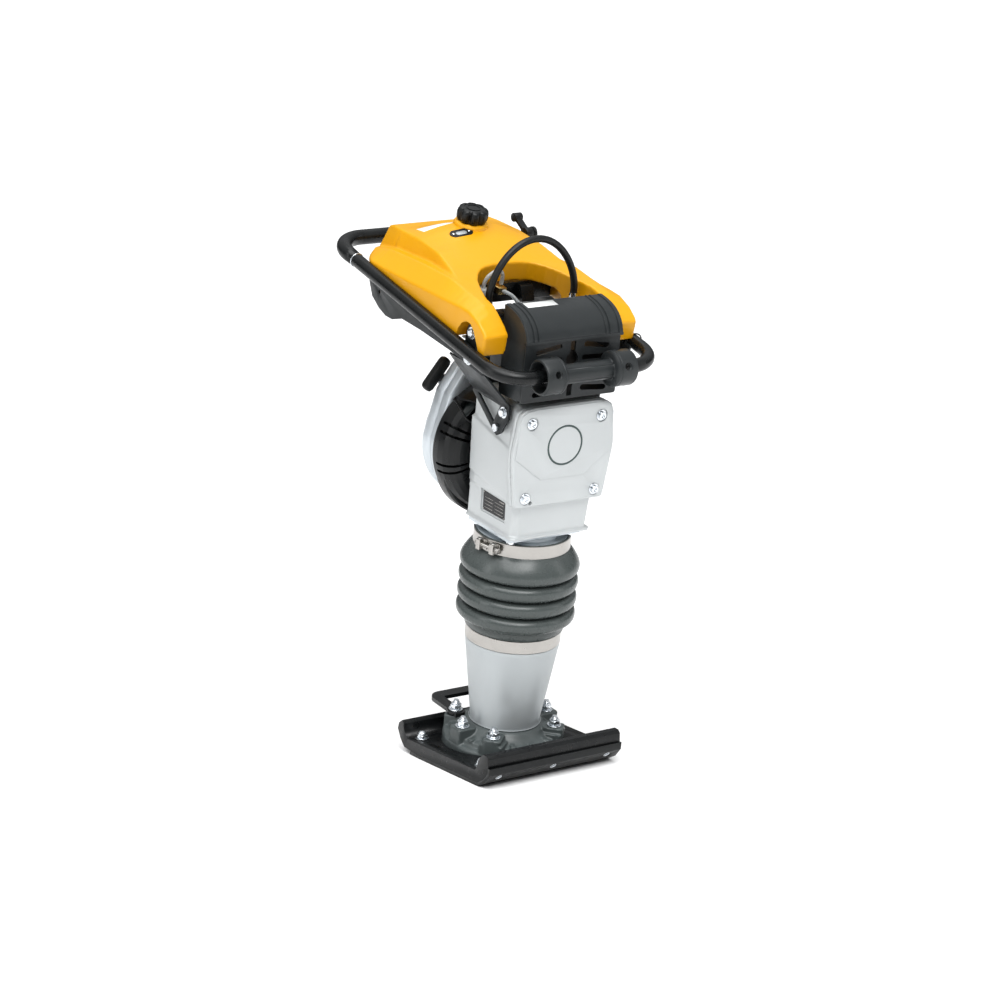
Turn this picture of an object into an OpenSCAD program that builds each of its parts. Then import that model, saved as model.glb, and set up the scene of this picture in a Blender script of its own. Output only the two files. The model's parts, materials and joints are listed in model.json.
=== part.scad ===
// Rammer (jumping jack): a two-part ram on a shoe, crank drive, small engine, tank in a tube handle.
// Millimetres, +Z up, -Y is the front, origin at the centre of the flat of the shoe on the ground.

/* [Shoe] */
// Width of the shoe across the machine
shoe_w = 280; // [250:5:320]
// Length of the flat of the shoe
flat_len = 188; // [180:2:200]
// Height of the floor inside the shoe
floor_z = 28; // [26:1:32]
// Thickness of the steel wear plate
wear_t = 6; // [4:0.5:8]

/* [Ram] */
// Forward lean of the ram in degrees
lean = 9; // [8:0.5:10]
// Radius of the foot of the tapered tube
tube_r0 = 62; // [61.5:0.5:64]
// Radius of the head of the tapered tube
tube_r1 = 84; // [82:0.5:86]
// Radius of the bellows over its folds
bellows_r = 105; // [98:1:108]
// Number of folds in the bellows
folds = 4; // [3:1:5]
// Outer radius of the sliding spring sleeve
sleeve_r = 52; // [50:0.5:53]
// Clearance of each running fit on the radius
run = 0.05; // [0.03:0.01:0.08]

/* [Drive] */
// Throw of the crank pin
throw_r = 18; // [16:0.5:19]
// Teeth of the crank gear
gear_n = 44; // [44:4:48]
// Half width of the crankcase
case_w = 84; // [82:0.5:86]
// Radius of the fan shroud
shroud_r = 126; // [124:1:127]

/* [Handle] */
// Outer diameter of the handle tube
tube_d = 24; // [22:0.5:26]
// Half width of the handle to its tube axis
rail_x = 161; // [160:0.5:168]
// Length of the handle from front bar to rear bar
rail_len = 564.5; // [550:5:590]
// Slope of the handle in degrees
rail_slope = 17.8; // [16.8:0.2:18.8]

/* [Hidden] */
axis_y = 38.7;
bar_y = -206;
bar_z = 727.4;
fine = 64;
flange_t = 62;
stud_r = 89.5;
stud_a = [0, 47, 133, 180, 223.5, 316.5];
bore_r = 61;
band_t0 = 228;
band_t1 = 252;
cuff_t0 = 405;
cuff_t1 = 430;
cuff_r = 80;
case_t0 = 447;
case_t1 = 690;
module_m = 2.5;
pin_n = 12;
gear_t = 622;
pin_t = gear_t - (gear_n + pin_n) * module_m / 2 - 0.5;
plate_x = 150;
tank_x = 156;
rail_r = tube_d / 2;
bend_r = 58;

module ram() translate([0, axis_y, 0]) rotate([lean, 0, 0]) children();
module rails() translate([0, bar_y, bar_z]) rotate([rail_slope, 0, 0]) children();
module wall_yz(x0, x1) translate([x0, 0, 0]) rotate([90, 0, 90]) linear_extrude(x1 - x0) children();
module wall_xz(y0, y1) translate([0, y1, 0]) rotate([90, 0, 0]) linear_extrude(y1 - y0) children();
module rod_y(r, y0, y1, n = fine) translate([0, y1, 0]) rotate([90, 0, 0]) cylinder(r = r, h = y1 - y0, $fn = n);
module rod_x(r, x0, x1, n = fine) translate([x0, 0, 0]) rotate([0, 90, 0]) cylinder(r = r, h = x1 - x0, $fn = n);
module tube(r1, r0, t0, t1) difference() {
    translate([0, 0, t0]) cylinder(r = r1, h = t1 - t0, $fn = fine);
    translate([0, 0, t0 - 1]) cylinder(r = r0, h = t1 - t0 + 2, $fn = fine);
}
module ring_y(r1, r0, y0, y1) difference() {
    rod_y(r1, y0, y1);
    rod_y(r0, y0 - 1, y1 + 1);
}
module bend(r, a) rotate_extrude(angle = a, $fn = fine) translate([r, 0]) circle(r = rail_r, $fn = 32);
module hex(af, h) cylinder(r = af / 2 / cos(30), h = h, $fn = 6);
module mirrored() {
    children();
    mirror([1, 0, 0]) children();
}

// helix of round wire, closed at both ends
module coil(r, w, h, turns, sides = 8, steps = 16) {
    n = turns * steps;
    pts = [for (i = [0:n]) for (j = [0:sides - 1])
        let (a = 360 * i / steps, b = 360 * j / sides, q = r + w * cos(b))
        [q * cos(a), q * sin(a), w + (h - 2 * w) * i / n + w * sin(b)]];
    skin = [for (i = [0:n - 1]) for (j = [0:sides - 1]) let (k = (j + 1) % sides)
        [i * sides + j, (i + 1) * sides + j, (i + 1) * sides + k, i * sides + k]];
    low = [for (j = [0:sides - 1]) j];
    top = [for (j = [sides - 1:-1:0]) n * sides + j];
    polyhedron(points = pts, faces = concat(skin, [low], [top]), convexity = 10);
}

// round hose swept through points in the XZ plane
module hose(path, r, sides = 12) {
    n = len(path) - 1;
    pts = [for (i = [0:n]) for (j = [0:sides - 1])
        let (p = path[max(0, i - 1)], q = path[min(n, i + 1)], d = q - p, m = norm(d), b = 360 * j / sides)
        [path[i][0] - d[1] / m * r * cos(b), r * sin(b), path[i][1] + d[0] / m * r * cos(b)]];
    skin = [for (i = [0:n - 1]) for (j = [0:sides - 1]) let (k = (j + 1) % sides)
        [i * sides + j, i * sides + k, (i + 1) * sides + k, (i + 1) * sides + j]];
    low = [for (j = [sides - 1:-1:0]) j];
    top = [for (j = [0:sides - 1]) n * sides + j];
    polyhedron(points = pts, faces = concat(skin, [low], [top]), convexity = 6);
}

module gear_2d(n) {
    rp = n * module_m / 2;
    ra = rp + module_m;
    rf = rp - 1.36 * module_m;
    s = 360 / n;
    polygon([for (i = [0:n - 1]) for (k = [[rf, -0.27], [ra, -0.1], [ra, 0.1], [rf, 0.27]])
        k[0] * [cos((i + k[1]) * s), sin((i + k[1]) * s)]]);
}

// ---------------------------------------------------------------- foot
hf = flat_len / 2;
nose_z = [[-hf - 39.2, 40], [-hf - 37, 27], [-hf - 21, 10.5], [-hf, 0]];

module shoe_section() polygon([[-hf - 34, 40.2], [-hf - 34, 56], [-hf - 29, 61], [-hf - 19, 62], [-hf - 8, 54],
    [-hf, 40], [-hf + 6, floor_z], [hf + 34, floor_z], [hf + 42, 34], [hf + 46, 44], [hf + 46, 52],
    [hf + 52, 58.5], [hf + 63, 51], [hf + 67, 40], [hf + 59, 23.7], [hf + 46, 9.6], [hf + 26, wear_t + 1.5],
    [hf, wear_t], [-hf + 1, wear_t], [-hf - 17, 15.5], [-hf - 31, 29.5], [-hf - 33.2, 40.2]]);
module wear_section() polygon(concat(nose_z, [[hf, 0], [hf + 28, 2], [hf + 26, wear_t + 1.5], [hf, wear_t],
    [-hf + 1, wear_t], [-hf - 17, 15.5], [-hf - 31, 29.5], [-hf - 33.2, 40]]));
curl_a = 45.9;
module wear_spots() for (x = [-1, 0, 1]) translate([x * shoe_w * 0.41, -hf - 29, 18.75]) rotate([-curl_a, 0, 0]) children();
module wear_holes(r, d) wear_spots() translate([0, 0, -0.2]) cylinder(r = r, h = d, $fn = 24);
bolt_xy = [[-118, -75], [118, -75], [-118, 115], [118, 115]];

module shoe() color([0.06, 0.06, 0.065]) difference() {
    wall_yz(-shoe_w / 2, shoe_w / 2) shoe_section();
    wear_holes(4, 24);
    for (p = bolt_xy) translate([p[0], p[1], wear_t + 2]) cylinder(r = 5, h = 60, $fn = 24);
}
module wear_plate() color([0.12, 0.12, 0.125]) difference() {
    wall_yz(-shoe_w / 2, shoe_w / 2) wear_section();
    wear_holes(7.1, 30);
}
module wear_screws() color([0.7, 0.72, 0.74]) wear_spots() difference() {
        union() {
            translate([0, 0, 0.4]) cylinder(r = 7, h = 4.4, $fn = 24);
            translate([0, 0, 1]) cylinder(r = 4, h = 22, $fn = 24);
        }
        translate([0, 0, -1]) hex(6, 4);
    }
module shoe_bolts() color([0.7, 0.72, 0.74]) for (p = bolt_xy) translate([p[0], p[1], 0]) {
    translate([0, 0, wear_t + 2]) cylinder(r = 5, h = floor_z - wear_t - 1, $fn = 24);
    translate([0, 0, floor_z]) cylinder(r = 12.5, h = 2, $fn = 32);
    translate([0, 0, floor_z + 2]) intersection() {
        translate([0, 0, -3]) sphere(r = 14, $fn = 32);
        cylinder(r = 10, h = 12, $fn = 32);
    }
}

module stud_spots() for (a = stud_a) rotate([0, 0, a]) translate([stud_r, 0, 0]) children();
function is_rear(a) = a == 47 || a == 133;
strap_t = 7;
module foot_flange() color([0.17, 0.17, 0.18]) difference() {
    intersection() {
        ram() union() {
            translate([0, 0, -60]) cylinder(r = 82, h = flange_t + 58, $fn = fine);
            translate([0, 0, 40]) cylinder(r = 70, h = flange_t - 30, $fn = fine);
            for (a = stud_a) rotate([0, 0, a]) translate([stud_r, 0, -60])
                cylinder(r = 19, h = is_rear(a) ? 60 + flange_t : 60 + flange_t + strap_t, $fn = 48);
        }
        translate([-200, -200, floor_z]) cube([400, 400, 200]);
    }
    ram() translate([0, 0, 50]) cylinder(r = bore_r, h = 60, $fn = fine);
    ram() translate([0, 0, -60]) cylinder(r = 40, h = 200, $fn = fine);
    ram() stud_spots() translate([0, 0, 44]) cylinder(r = 6, h = 60, $fn = 24);
}
module flange_nuts() color([0.7, 0.72, 0.74]) ram() stud_spots() {
    translate([0, 0, 44]) cylinder(r = 6, h = flange_t + strap_t + 20 - 44, $fn = 24);
    translate([0, 0, flange_t + strap_t]) difference() {
        union() {
            cylinder(r = 13.5, h = 2.5, $fn = 48);
            translate([0, 0, 2.5]) hex(18, 9);
        }
        translate([0, 0, -1]) cylinder(r = 6, h = 20, $fn = 24);
    }
}
module carry_strap() color([0.07, 0.07, 0.07]) ram() translate([0, 0, flange_t]) difference() {
    union() {
        mirrored() translate([50, 48, 0]) cube([22, 76, strap_t]);
        mirrored() intersection() {
            translate([48, 120, 0]) cylinder(r = 24, h = strap_t, $fn = fine);
            translate([48, 120, -1]) cube([40, 40, 40]);
        }
        translate([-49, 122, 0]) cube([98, 22, strap_t]);
        mirrored() translate([61, 65.4, 0]) cylinder(r = 16, h = strap_t, $fn = 48);
    }
    stud_spots() translate([0, 0, -1]) cylinder(r = 6, h = 20, $fn = 24);
    cylinder(r = 72, h = 40, $fn = fine, center = true);
}

module foot_tube() color([0.72, 0.74, 0.76]) ram() rotate_extrude($fn = fine) polygon([[0, 50], [bore_r, 50],
    [bore_r, 73], [tube_r0, 76], [tube_r1 - 1, 222], [tube_r1, 227], [cuff_r, 228], [cuff_r, 252], [cuff_r - 5, 254],
    [cuff_r - 5, 226], [tube_r0 - 3, 80], [tube_r0 - 5, 66], [sleeve_r, 66], [sleeve_r, 58], [0, 58]]);
module lower_band() color([0.75, 0.75, 0.74]) ram() difference() {
    union() {
        tube(84.6, 83.2, band_t0 + 1, band_t1 - 1);
        translate([-9, 84, band_t0 + 4]) cube([18, 10, band_t1 - band_t0 - 8]);
    }
    translate([0, 0, 200]) cylinder(r = 83.2, h = 80, $fn = fine);
    translate([-1.5, 80, 200]) cube([3, 30, 80]);
}
// profile of the folded wall, outside then inside
fold_h = (cuff_t0 - band_t1) / folds;
function fold_r(u) = bellows_r - 12 * pow(abs(cos(180 * u)), 2.2);
fold_out = [for (i = [0:folds * 12]) [fold_r(i / 12), band_t1 + fold_h * i / 12]];
module bellows() color([0.2, 0.22, 0.21]) ram() rotate_extrude($fn = fine) polygon(concat(
    [[cuff_r, band_t0], [83.2, band_t0], [83.2, band_t1 - 0.5]], fold_out,
    [[83.8, cuff_t0 + 0.5], [83.8, cuff_t1], [cuff_r + 0.5, cuff_t1], [cuff_r + 0.5, cuff_t0 - 4]],
    [for (i = [folds * 12 - 1:-1:1]) fold_out[i] - [4, 0]], [[cuff_r, band_t1 + 2]]));
module spring_sleeve() color([0.6, 0.6, 0.6]) ram() tube(sleeve_r, sleeve_r - 5, 58, 395);
module sleeve_cap() color([0.66, 0.58, 0.35]) ram() tube(sleeve_r - 5, 12 + run, 382, 395);
module lower_spring() color([0.35, 0.36, 0.38]) ram() translate([0, 0, 58]) coil(36, 5, 169.5, 8);
module upper_spring() color([0.35, 0.36, 0.38]) ram() translate([0, 0, 242.5]) coil(36, 5, 139, 7);

// ---------------------------------------------------------------- crankcase group
module flange_spots() for (x = [-1, 1], y = [-52, 48]) translate([x * 62, y, 0]) children();
module guide_cylinder() color([0.62, 0.63, 0.64]) ram() difference() {
    union() {
        tube(sleeve_r + 6, sleeve_r + run, 250, 446);
        tube(cuff_r + 0.5, sleeve_r + 5, 402, 430);
        tube(66, sleeve_r + 5, 429, 446);
        translate([-74, -66, 437]) cube([148, 126, 10]);
    }
    translate([0, 0, 240]) cylinder(r = sleeve_r + run, h = 220, $fn = fine);
    flange_spots() translate([0, 0, 430]) cylinder(r = 4.2, h = 30, $fn = 24);
}
latch_a = 193;
module upper_band() color([0.75, 0.75, 0.74]) ram() difference() {
    tube(85.4, 83.8, cuff_t0 + 1, cuff_t1 - 1);
    rotate([0, 0, latch_a]) translate([80, -5, 400]) cube([10, 10, 40]);
}
module band_latch() color([0.78, 0.78, 0.78]) ram() rotate([0, 0, latch_a]) translate([0, 0, (cuff_t0 + cuff_t1) / 2]) {
    for (s = [-1, 1]) translate([85.4, s * 16 - 5, -8]) difference() {
        cube([11, 10, 16]);
        translate([6, -1, 8]) rotate([-90, 0, 0]) cylinder(r = 3, h = 20, $fn = 24);
    }
    translate([91.4, -30, 0]) rotate([-90, 0, 0]) cylinder(r = 3, h = 60, $fn = 24);
    translate([91.4, 22, 0]) rotate([-90, 0, 0]) difference() {
        hex(11, 7);
        translate([0, 0, -1]) cylinder(r = 3, h = 9, $fn = 24);
    }
}
module flange_bolts() color([0.7, 0.72, 0.74]) ram() flange_spots() {
    translate([0, 0, 431]) cylinder(r = 4.2, h = 24, $fn = 24);
    translate([0, 0, 435]) cylinder(r = 9, h = 2, $fn = 32);
    translate([0, 0, 430.2]) difference() {
        hex(13, 5);
        translate([0, 0, -1]) cylinder(r = 4.2, h = 12, $fn = 24);
    }
}

cover_pts = [[-88, 511], [88, 511], [92, 516], [103, 595], [104, 613], [96, 672], [93, 680], [84, 686],
    [64, 689], [-64, 689], [-84, 686], [-93, 680], [-96, 672], [-104, 613], [-103, 595], [-92, 516]];
mount_p = [-26, 636];
plate_p = [-42, 668];
cover_bolts = [[-71.5, 528.3], [71.5, 528.3], [-71.5, 661.9], [71.5, 661.9]];
front_y = -85;
case_rear = 60;
module crankcase() color([0.78, 0.79, 0.79]) ram() difference() {
    union() {
        wall_xz(front_y, -64) polygon(cover_pts);
        wall_yz(-case_w, case_w) polygon([[-66, 500], [-66, 689], [40, 692], [case_rear, 676], [case_rear, 500]]);
        wall_yz(-79, 79) polygon([[front_y, 452], [front_y, 512], [case_rear, 512], [case_rear, case_t0], [-80, case_t0]]);
        mirrored() wall_yz(case_w - 1, case_w + 2) polygon([[-64, 598], [-64, 514], [54, 534], [54, 629]]);
        translate([0, 0, pin_t]) rod_y(74, case_rear - 1, 68);
        mirrored() translate([0, mount_p[0], mount_p[1]]) rod_x(11, 60, case_w + 2, 32);
    }
    wall_xz(-90, 36) polygon([[-72, 512], [72, 512], [80, 595], [80, 640], [70, 682], [-70, 682], [-80, 640],
        [-80, 595]]);
    wall_xz(-78, 36) polygon([[-66, 459], [66, 459], [66, 515], [-66, 515]]);
    translate([0, 0, 440]) cylinder(r = 30, h = 40, $fn = fine);
    for (t = [gear_t, pin_t]) translate([0, 0, t]) rod_y(20, 30, 52);
    translate([0, 0, pin_t]) rod_y(12, 50, 64);
    translate([0, 0, pin_t]) rod_y(64, 60, 70);
    for (p = cover_bolts) translate([p[0], 0, p[1]]) rod_y(4, -95, -66, 24);
    flange_spots() translate([0, 0, 440]) cylinder(r = 4.2, h = 16, $fn = 24);
    translate([0, 0, 489]) wall_yz(-92, -77) polygon([[-54, -19], [20, -21], [22, 21], [-52, 19]]);
    mirrored() translate([0, mount_p[0], mount_p[1]]) rod_x(4, 62, 100, 24);
}
module front_cover() color([0.8, 0.81, 0.81]) ram() difference() {
    union() {
        wall_xz(-95, front_y) polygon(cover_pts);
        wall_xz(-96.5, -94) polygon([[-43, 559], [43, 557], [99, 600], [95, 668], [88, 680], [62, 686], [-62, 686],
            [-88, 680], [-95, 668], [-99, 600]]);
        translate([0, 0, gear_t]) rod_y(30, front_y - 1, front_y + 10);
    }
    for (p = cover_bolts) translate([p[0], 0, p[1]]) rod_y(4, -100, -80, 24);
    for (p = cover_bolts) translate([p[0], 0, p[1]]) rod_y(11.5, -100, -94, 32);
    translate([-60, 0, 519]) rod_y(4, -98, -84, 24);
    translate([0, 0, 617]) rod_y(36, -98, -95.7);
}
module cover_screws() color([0.7, 0.72, 0.74]) ram() for (p = cover_bolts) translate([p[0], 0, p[1]]) difference() {
    union() {
        rod_y(4, -95, -68, 24);
        rod_y(9.5, -95.8, -94, 32);
        rod_y(7, -100.5, -95.8, 32);
    }
    translate([0, -97.5, 0]) rotate([90, 0, 0]) hex(6, 6);
}
module cover_badge() color([0.3, 0.33, 0.34]) ram() translate([0, 0, 617]) {
    rod_y(35.8, -96.4, -95.7);
    ring_y(35.8, 33, -97, -96.4);
}
module nameplate() color([0.1, 0.1, 0.1]) ram() translate([0, 0, 489]) wall_yz(-78, -77)
    polygon([[-49, -15], [15, -17], [17, 17], [-47, 15]]);
module bearings() color([0.6, 0.6, 0.6]) ram() for (t = [gear_t, pin_t]) translate([0, 0, t]) ring_y(20, 10 + run, 40, 52);

module crank_gear() color([0.5, 0.5, 0.52]) ram() translate([0, 0, gear_t]) {
    wall_xz(12, 30) difference() {
        gear_2d(gear_n);
        for (a = [30, 90, 150]) rotate(a) translate([34, 0]) circle(r = 10, $fn = 32);
    }
    rod_y(10, 29, 51);
    translate([0, 0, -throw_r]) rod_y(8, -9, 13);
    translate([0, 0, -throw_r]) rod_y(11, -11, -9);
}
rod_eye = 512;
module connecting_rod() color([0.55, 0.55, 0.57]) ram() difference() {
    union() {
        translate([0, 0, gear_t - throw_r]) rod_y(15, -8.5, 9);
        translate([0, 0, rod_eye]) rod_y(11, -7, 7);
        translate([-7, -5, rod_eye]) cube([14, 10, gear_t - throw_r - rod_eye]);
    }
    translate([0, 0, gear_t - throw_r]) rod_y(8 + run, -20, 20);
    translate([0, 0, rod_eye]) rod_y(6, -20, 20);
}
module ram_piston() color([0.55, 0.55, 0.57]) ram() {
    translate([0, 0, 228]) cylinder(r = sleeve_r - 5.5, h = 14, $fn = fine);
    translate([0, 0, 240]) cylinder(r = 12, h = 230, $fn = fine);
    translate([0, 0, 462]) difference() {
        cylinder(r = 17, h = 18, $fn = fine);
        translate([-30, -7.5, 4]) cube([60, 15, 20]);
        translate([0, 0, 11]) rod_y(4, -30, 30, 24);
    }
    translate([0, 0, 473]) rod_y(4, -15, 15, 24);
}
module clutch_drum() color([0.5, 0.5, 0.5]) ram() translate([0, 0, pin_t]) {
    wall_xz(12, 32) rotate(360 / pin_n / 2) gear_2d(pin_n);
    rod_y(10, 31, 63);
    rod_y(54, 62, 66);
    ring_y(54, 50, 65, 84);
}

// ---------------------------------------------------------------- engine
module engine_shaft() color([0.5, 0.5, 0.5]) ram() translate([0, 0, pin_t]) {
    rod_y(10, 68, 196);
    rod_y(18, 70, 82);
    ring_y(104, 92, 97.4, 118);
    rod_y(94, 112, 118);
    for (a = [0:18:359]) rotate([0, a, 0]) translate([-1.5, 92, 40]) cube([3, 21, 53]);
}
module clutch_shoes() color([0.4, 0.36, 0.3]) ram() translate([0, 0, pin_t]) difference() {
    ring_y(48.5, 26, 70, 81);
    for (a = [0, 120, 240]) rotate([0, a, 0]) translate([-3, 60, 0]) cube([6, 30, 60]);
}
shroud_drop = 6;
module fan_shroud() color([0.06, 0.06, 0.06]) ram() translate([0, 0, pin_t - shroud_drop]) difference() {
    union() {
        rod_y(shroud_r, 92, 124);
        rod_y(shroud_r - 13, 74, 93);
        rod_y(shroud_r - 20, 70, 75);
    }
    rod_y(shroud_r - 4, 96, 130);
    rod_y(shroud_r - 17, 78, 97);
    translate([0, 0, shroud_drop]) rod_y(76, 60, 80);
    for (s = [0, 180], a = [62, 69, 76, 96, 103, 110]) rotate([0, s + a, 0])
        translate([-2.2, 84, shroud_r - 20]) cube([4.4, 30, 40]);
    for (a = [-52, 52]) rotate([0, a, 0]) translate([0, 100, shroud_r - 20]) cylinder(r = 15, h = 40, $fn = 32);
}
// engine casting with a drop-shaped outline
module drop_2d(g) union() {
    circle(r = 113 - g, $fn = fine);
    polygon([[-112 + g, 12], [-92 + g, 92], [-62 + g, 142 - g], [40 - g, 142 - g], [92 - g, 70], [112 - g, 12]]);
}
module engine_block() color([0.74, 0.76, 0.77]) ram() translate([0, 0, pin_t]) difference() {
    union() {
        wall_xz(124, 172) drop_2d(0);
    }
    wall_xz(130, 164) drop_2d(8);
    rod_y(10 + run, 120, 180);
    translate([-2, 138, 120]) cylinder(r = 28, h = 40, $fn = fine);
    for (a = [0:60:359]) rotate([0, a, 0]) translate([0, 0, 88]) rod_y(4, 160, 180, 24);
}
head_t = pin_t + 142;
module cylinder_head() color([0.3, 0.31, 0.32]) ram() translate([-2, 0, head_t]) {
    difference() {
        union() {
            translate([-42, 112, 0]) cube([84, 52, 6]);
            translate([0, 138, 0]) cylinder(r = 34, h = 58, $fn = fine);
            for (k = [0:4]) translate([-46, 100, 12 + k * 9]) cube([92, 66, 3.4]);
            translate([-40, 98, 56]) cube([80, 70, 18]);
            translate([-14, 62, 58]) cube([28, 40, 14]);
        }
        translate([0, 138, -1]) cylinder(r = 28, h = 50, $fn = fine);
        translate([0, 61, 65]) rod_y(5, -1, 30, 24);
    }
}
module valve_cover() color([0.07, 0.07, 0.07]) ram() translate([-2, 0, head_t + 74]) {
    translate([-36, 102, 0]) cube([72, 62, 10]);
    translate([0, 134, 10]) cylinder(r = 16, h = 6, $fn = 32);
}
// line on which the rope leaves the pulley
rope_out = 112;
module rope_line() translate([24, 188, 32]) rotate([0, -53.13, 0]) children();
module recoil_cover() color([0.74, 0.76, 0.77]) ram() translate([0, 0, pin_t]) difference() {
    union() {
        rod_y(100, 172, 178);
        rod_y(86, 172, 202);
        rope_line() translate([0, 0, 60]) cylinder(r = 11, h = rope_out - 60, $fn = 32);
    }
    rod_y(81, 171, 198);
    for (a = [0:60:359]) rotate([0, a, 0]) translate([0, 0, 88]) rod_y(4, 160, 180, 24);
    for (a = [0:30:359]) rotate([0, a, 0]) translate([-3, 195, 44]) cube([6, 12, 26]);
    rope_line() cylinder(r = 4, h = 160, $fn = 24);
    for (a = [0:60:359]) rotate([0, a, 0]) translate([0, 0, 93]) rod_y(6, 178, 190, 24);
}
module starter_pulley() color([0.15, 0.15, 0.15]) ram() translate([0, 0, pin_t]) difference() {
    union() {
        rod_y(48, 180, 183);
        rod_y(40, 180, 194);
        rod_y(48, 191, 194);
    }
    rod_y(16, 170, 197);
}
module starter_grip() color([0.05, 0.05, 0.05]) ram() translate([0, 0, pin_t]) rope_line() translate([0, 0, rope_out + 0.4]) {
    cylinder(r = 9, h = 12, $fn = 32);
    translate([0, 0, 18]) rod_x(9, -32, 32, 32);
    for (x = [-32, 32]) translate([x, 0, 18]) sphere(r = 9, $fn = 32);
}
guard_x = 97;
guard_y = -92;
guard_d = 66;
guard_t = 699;
pipe_t = head_t + 65;
module muffler() color([0.35, 0.33, 0.31]) ram() difference() {
    union() {
        translate([-74, guard_y + 14, guard_t + 18]) cube([150, 46, 62]);
        translate([-2, 0, pipe_t]) rod_y(11, guard_y + 58, 62);
    }
    translate([-71, guard_y + 17, guard_t + 21]) cube([144, 40, 56]);
    translate([-2, 0, pipe_t]) rod_y(8.5, guard_y + 50, 70);
}
module slot_2d(w, h) union() {
    square([w - h, h], center = true);
    for (x = [-1, 1]) translate([x * (w - h) / 2, 0]) circle(r = h / 2, $fn = 24);
}
module grille_2d() difference() {
    translate([-guard_x, 0]) square([2 * guard_x, 104]);
    for (s = [-1, 1], k = [[90, 52, 8], [68, 56, 0], [36, 56, 0], [14, 52, -8]]) translate([s * 50, k[0]]) rotate(-s * k[2])
        slot_2d(k[1], 9);
    for (t = [26, 78]) polygon([[-5, t - 22], [5, t - 22], [11, t + 6], [6, t + 18], [-6, t + 18], [-11, t + 6]]);
}
module muffler_guard() color([0.09, 0.09, 0.095]) ram() translate([0, guard_y, guard_t]) {
    wall_xz(0, 4) grille_2d();
    for (s = [-1, 1]) difference() {
        translate([s > 0 ? guard_x - 3 : -guard_x, 3, 0]) cube([3, guard_d, 104]);
        translate([s * guard_x - 10, 34, 40]) rod_x(8, 0, 20, 32);
    }
    translate([-guard_x, 3, 0]) cube([2 * guard_x, guard_d, 3]);
}
module guard_hood() color([0.17, 0.18, 0.19]) ram() translate([0, guard_y - 3, guard_t + 104]) difference() {
    union() {
        wall_yz(-guard_x - 3, guard_x + 3) polygon([[0, 0], [0, 8], [12, 30], [34, 44], [70, 50], [70, 0]]);
        for (x = [-86, -76, 82]) wall_yz(x, x + 4) polygon([[-1.5, 1], [-1.5, 9], [11, 32], [34, 46.5], [70, 52.5], [70, 2]]);
    }
    wall_yz(-guard_x, guard_x) polygon([[3, -1], [3, 7], [14, 28], [35, 41], [71, 47], [71, -1]]);
}

// ---------------------------------------------------------------- hoses
arch_n = 28;
arch = concat([[-88, 0]], [for (i = [0:arch_n]) let (u = 180 * i / arch_n)
    [-88 * cos(u), 6 + 94 * pow(sin(u), 1.2)]], [[88, 0]]);
airbox_t = 772;
module breather_hose() color([0.1, 0.1, 0.1]) ram() translate([0, 40, airbox_t + 68]) hose(arch, 5.5);
module hose_ferrules() color([0.7, 0.72, 0.74]) ram() for (s = [-1, 1]) translate([s * 88, 40, airbox_t]) {
    cylinder(r = 5, h = 51, $fn = 32);
    translate([0, 0, 50]) cylinder(r = 7, h = 18, $fn = 32);
}
module air_cleaner() color([0.06, 0.06, 0.06]) ram() difference() {
    union() {
        translate([-60, 4, 712]) cube([120, 56, airbox_t - 712]);
        translate([-97, 28, airbox_t - 26]) cube([194, 24, 26]);
    }
    translate([-56, 8, 716]) cube([112, 48, airbox_t - 720]);
    translate([-2, 0, pipe_t]) rod_y(13, 0, 70);
}
loop_n = 20;
module fuel_lines() color([0.55, 0.58, 0.6]) rails() translate([-32, 250, 46]) hose([for (i = [0:loop_n])
    let (u = 180 * i / loop_n) [-18 * cos(u), 34 * sin(u)]], 3.5, 10);
module fuel_filter() color([0.75, 0.77, 0.78]) rails() translate([-50, 250, 18]) {
    cylinder(r = 9, h = 24, $fn = 32);
    translate([0, 0, 24]) cylinder(r = 3, h = 4, $fn = 24);
}
module fuel_tap() color([0.7, 0.6, 0.3]) rails() translate([-14, 250, 30]) {
    translate([-8, -8, 0]) cube([16, 24 - run, 12]);
    translate([0, 0, 12]) cylinder(r = 3, h = 4, $fn = 24);
}

// ---------------------------------------------------------------- handle
module handle_tube() color([0.04, 0.04, 0.04]) rails() {
    translate([-rail_x + bend_r, 0, 0]) rod_x(rail_r, 0, 2 * (rail_x - bend_r), 32);
    translate([-rail_x + bend_r, rail_len, 0]) rod_x(rail_r, 0, 2 * (rail_x - bend_r), 32);
    mirrored() {
        translate([rail_x, bend_r, 0]) rotate([-90, 0, 0]) cylinder(r = rail_r, h = rail_len - 2 * bend_r, $fn = 32);
        translate([rail_x - bend_r, rail_len - bend_r, 0]) bend(bend_r, 90);
        translate([rail_x - bend_r, bend_r, 0]) rotate([0, 0, -90]) bend(bend_r, 90);
    }
}
module sleeve_2d() difference() {
    circle(r = rail_r + 1.6, $fn = 32);
    circle(r = rail_r, $fn = 32);
}
module grip_sleeve() color([0.09, 0.09, 0.09]) rails() {
    translate([-rail_x + bend_r, rail_len, 0]) rotate([0, 90, 0]) linear_extrude(2 * (rail_x - bend_r)) sleeve_2d();
    mirrored() translate([rail_x - bend_r, rail_len - bend_r, 0]) rotate_extrude(angle = 90, $fn = fine)
        translate([bend_r, 0]) sleeve_2d();
    mirrored() translate([rail_x, rail_len - bend_r, 0]) rotate([90, 0, 0]) linear_extrude(38) sleeve_2d();
}
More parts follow.
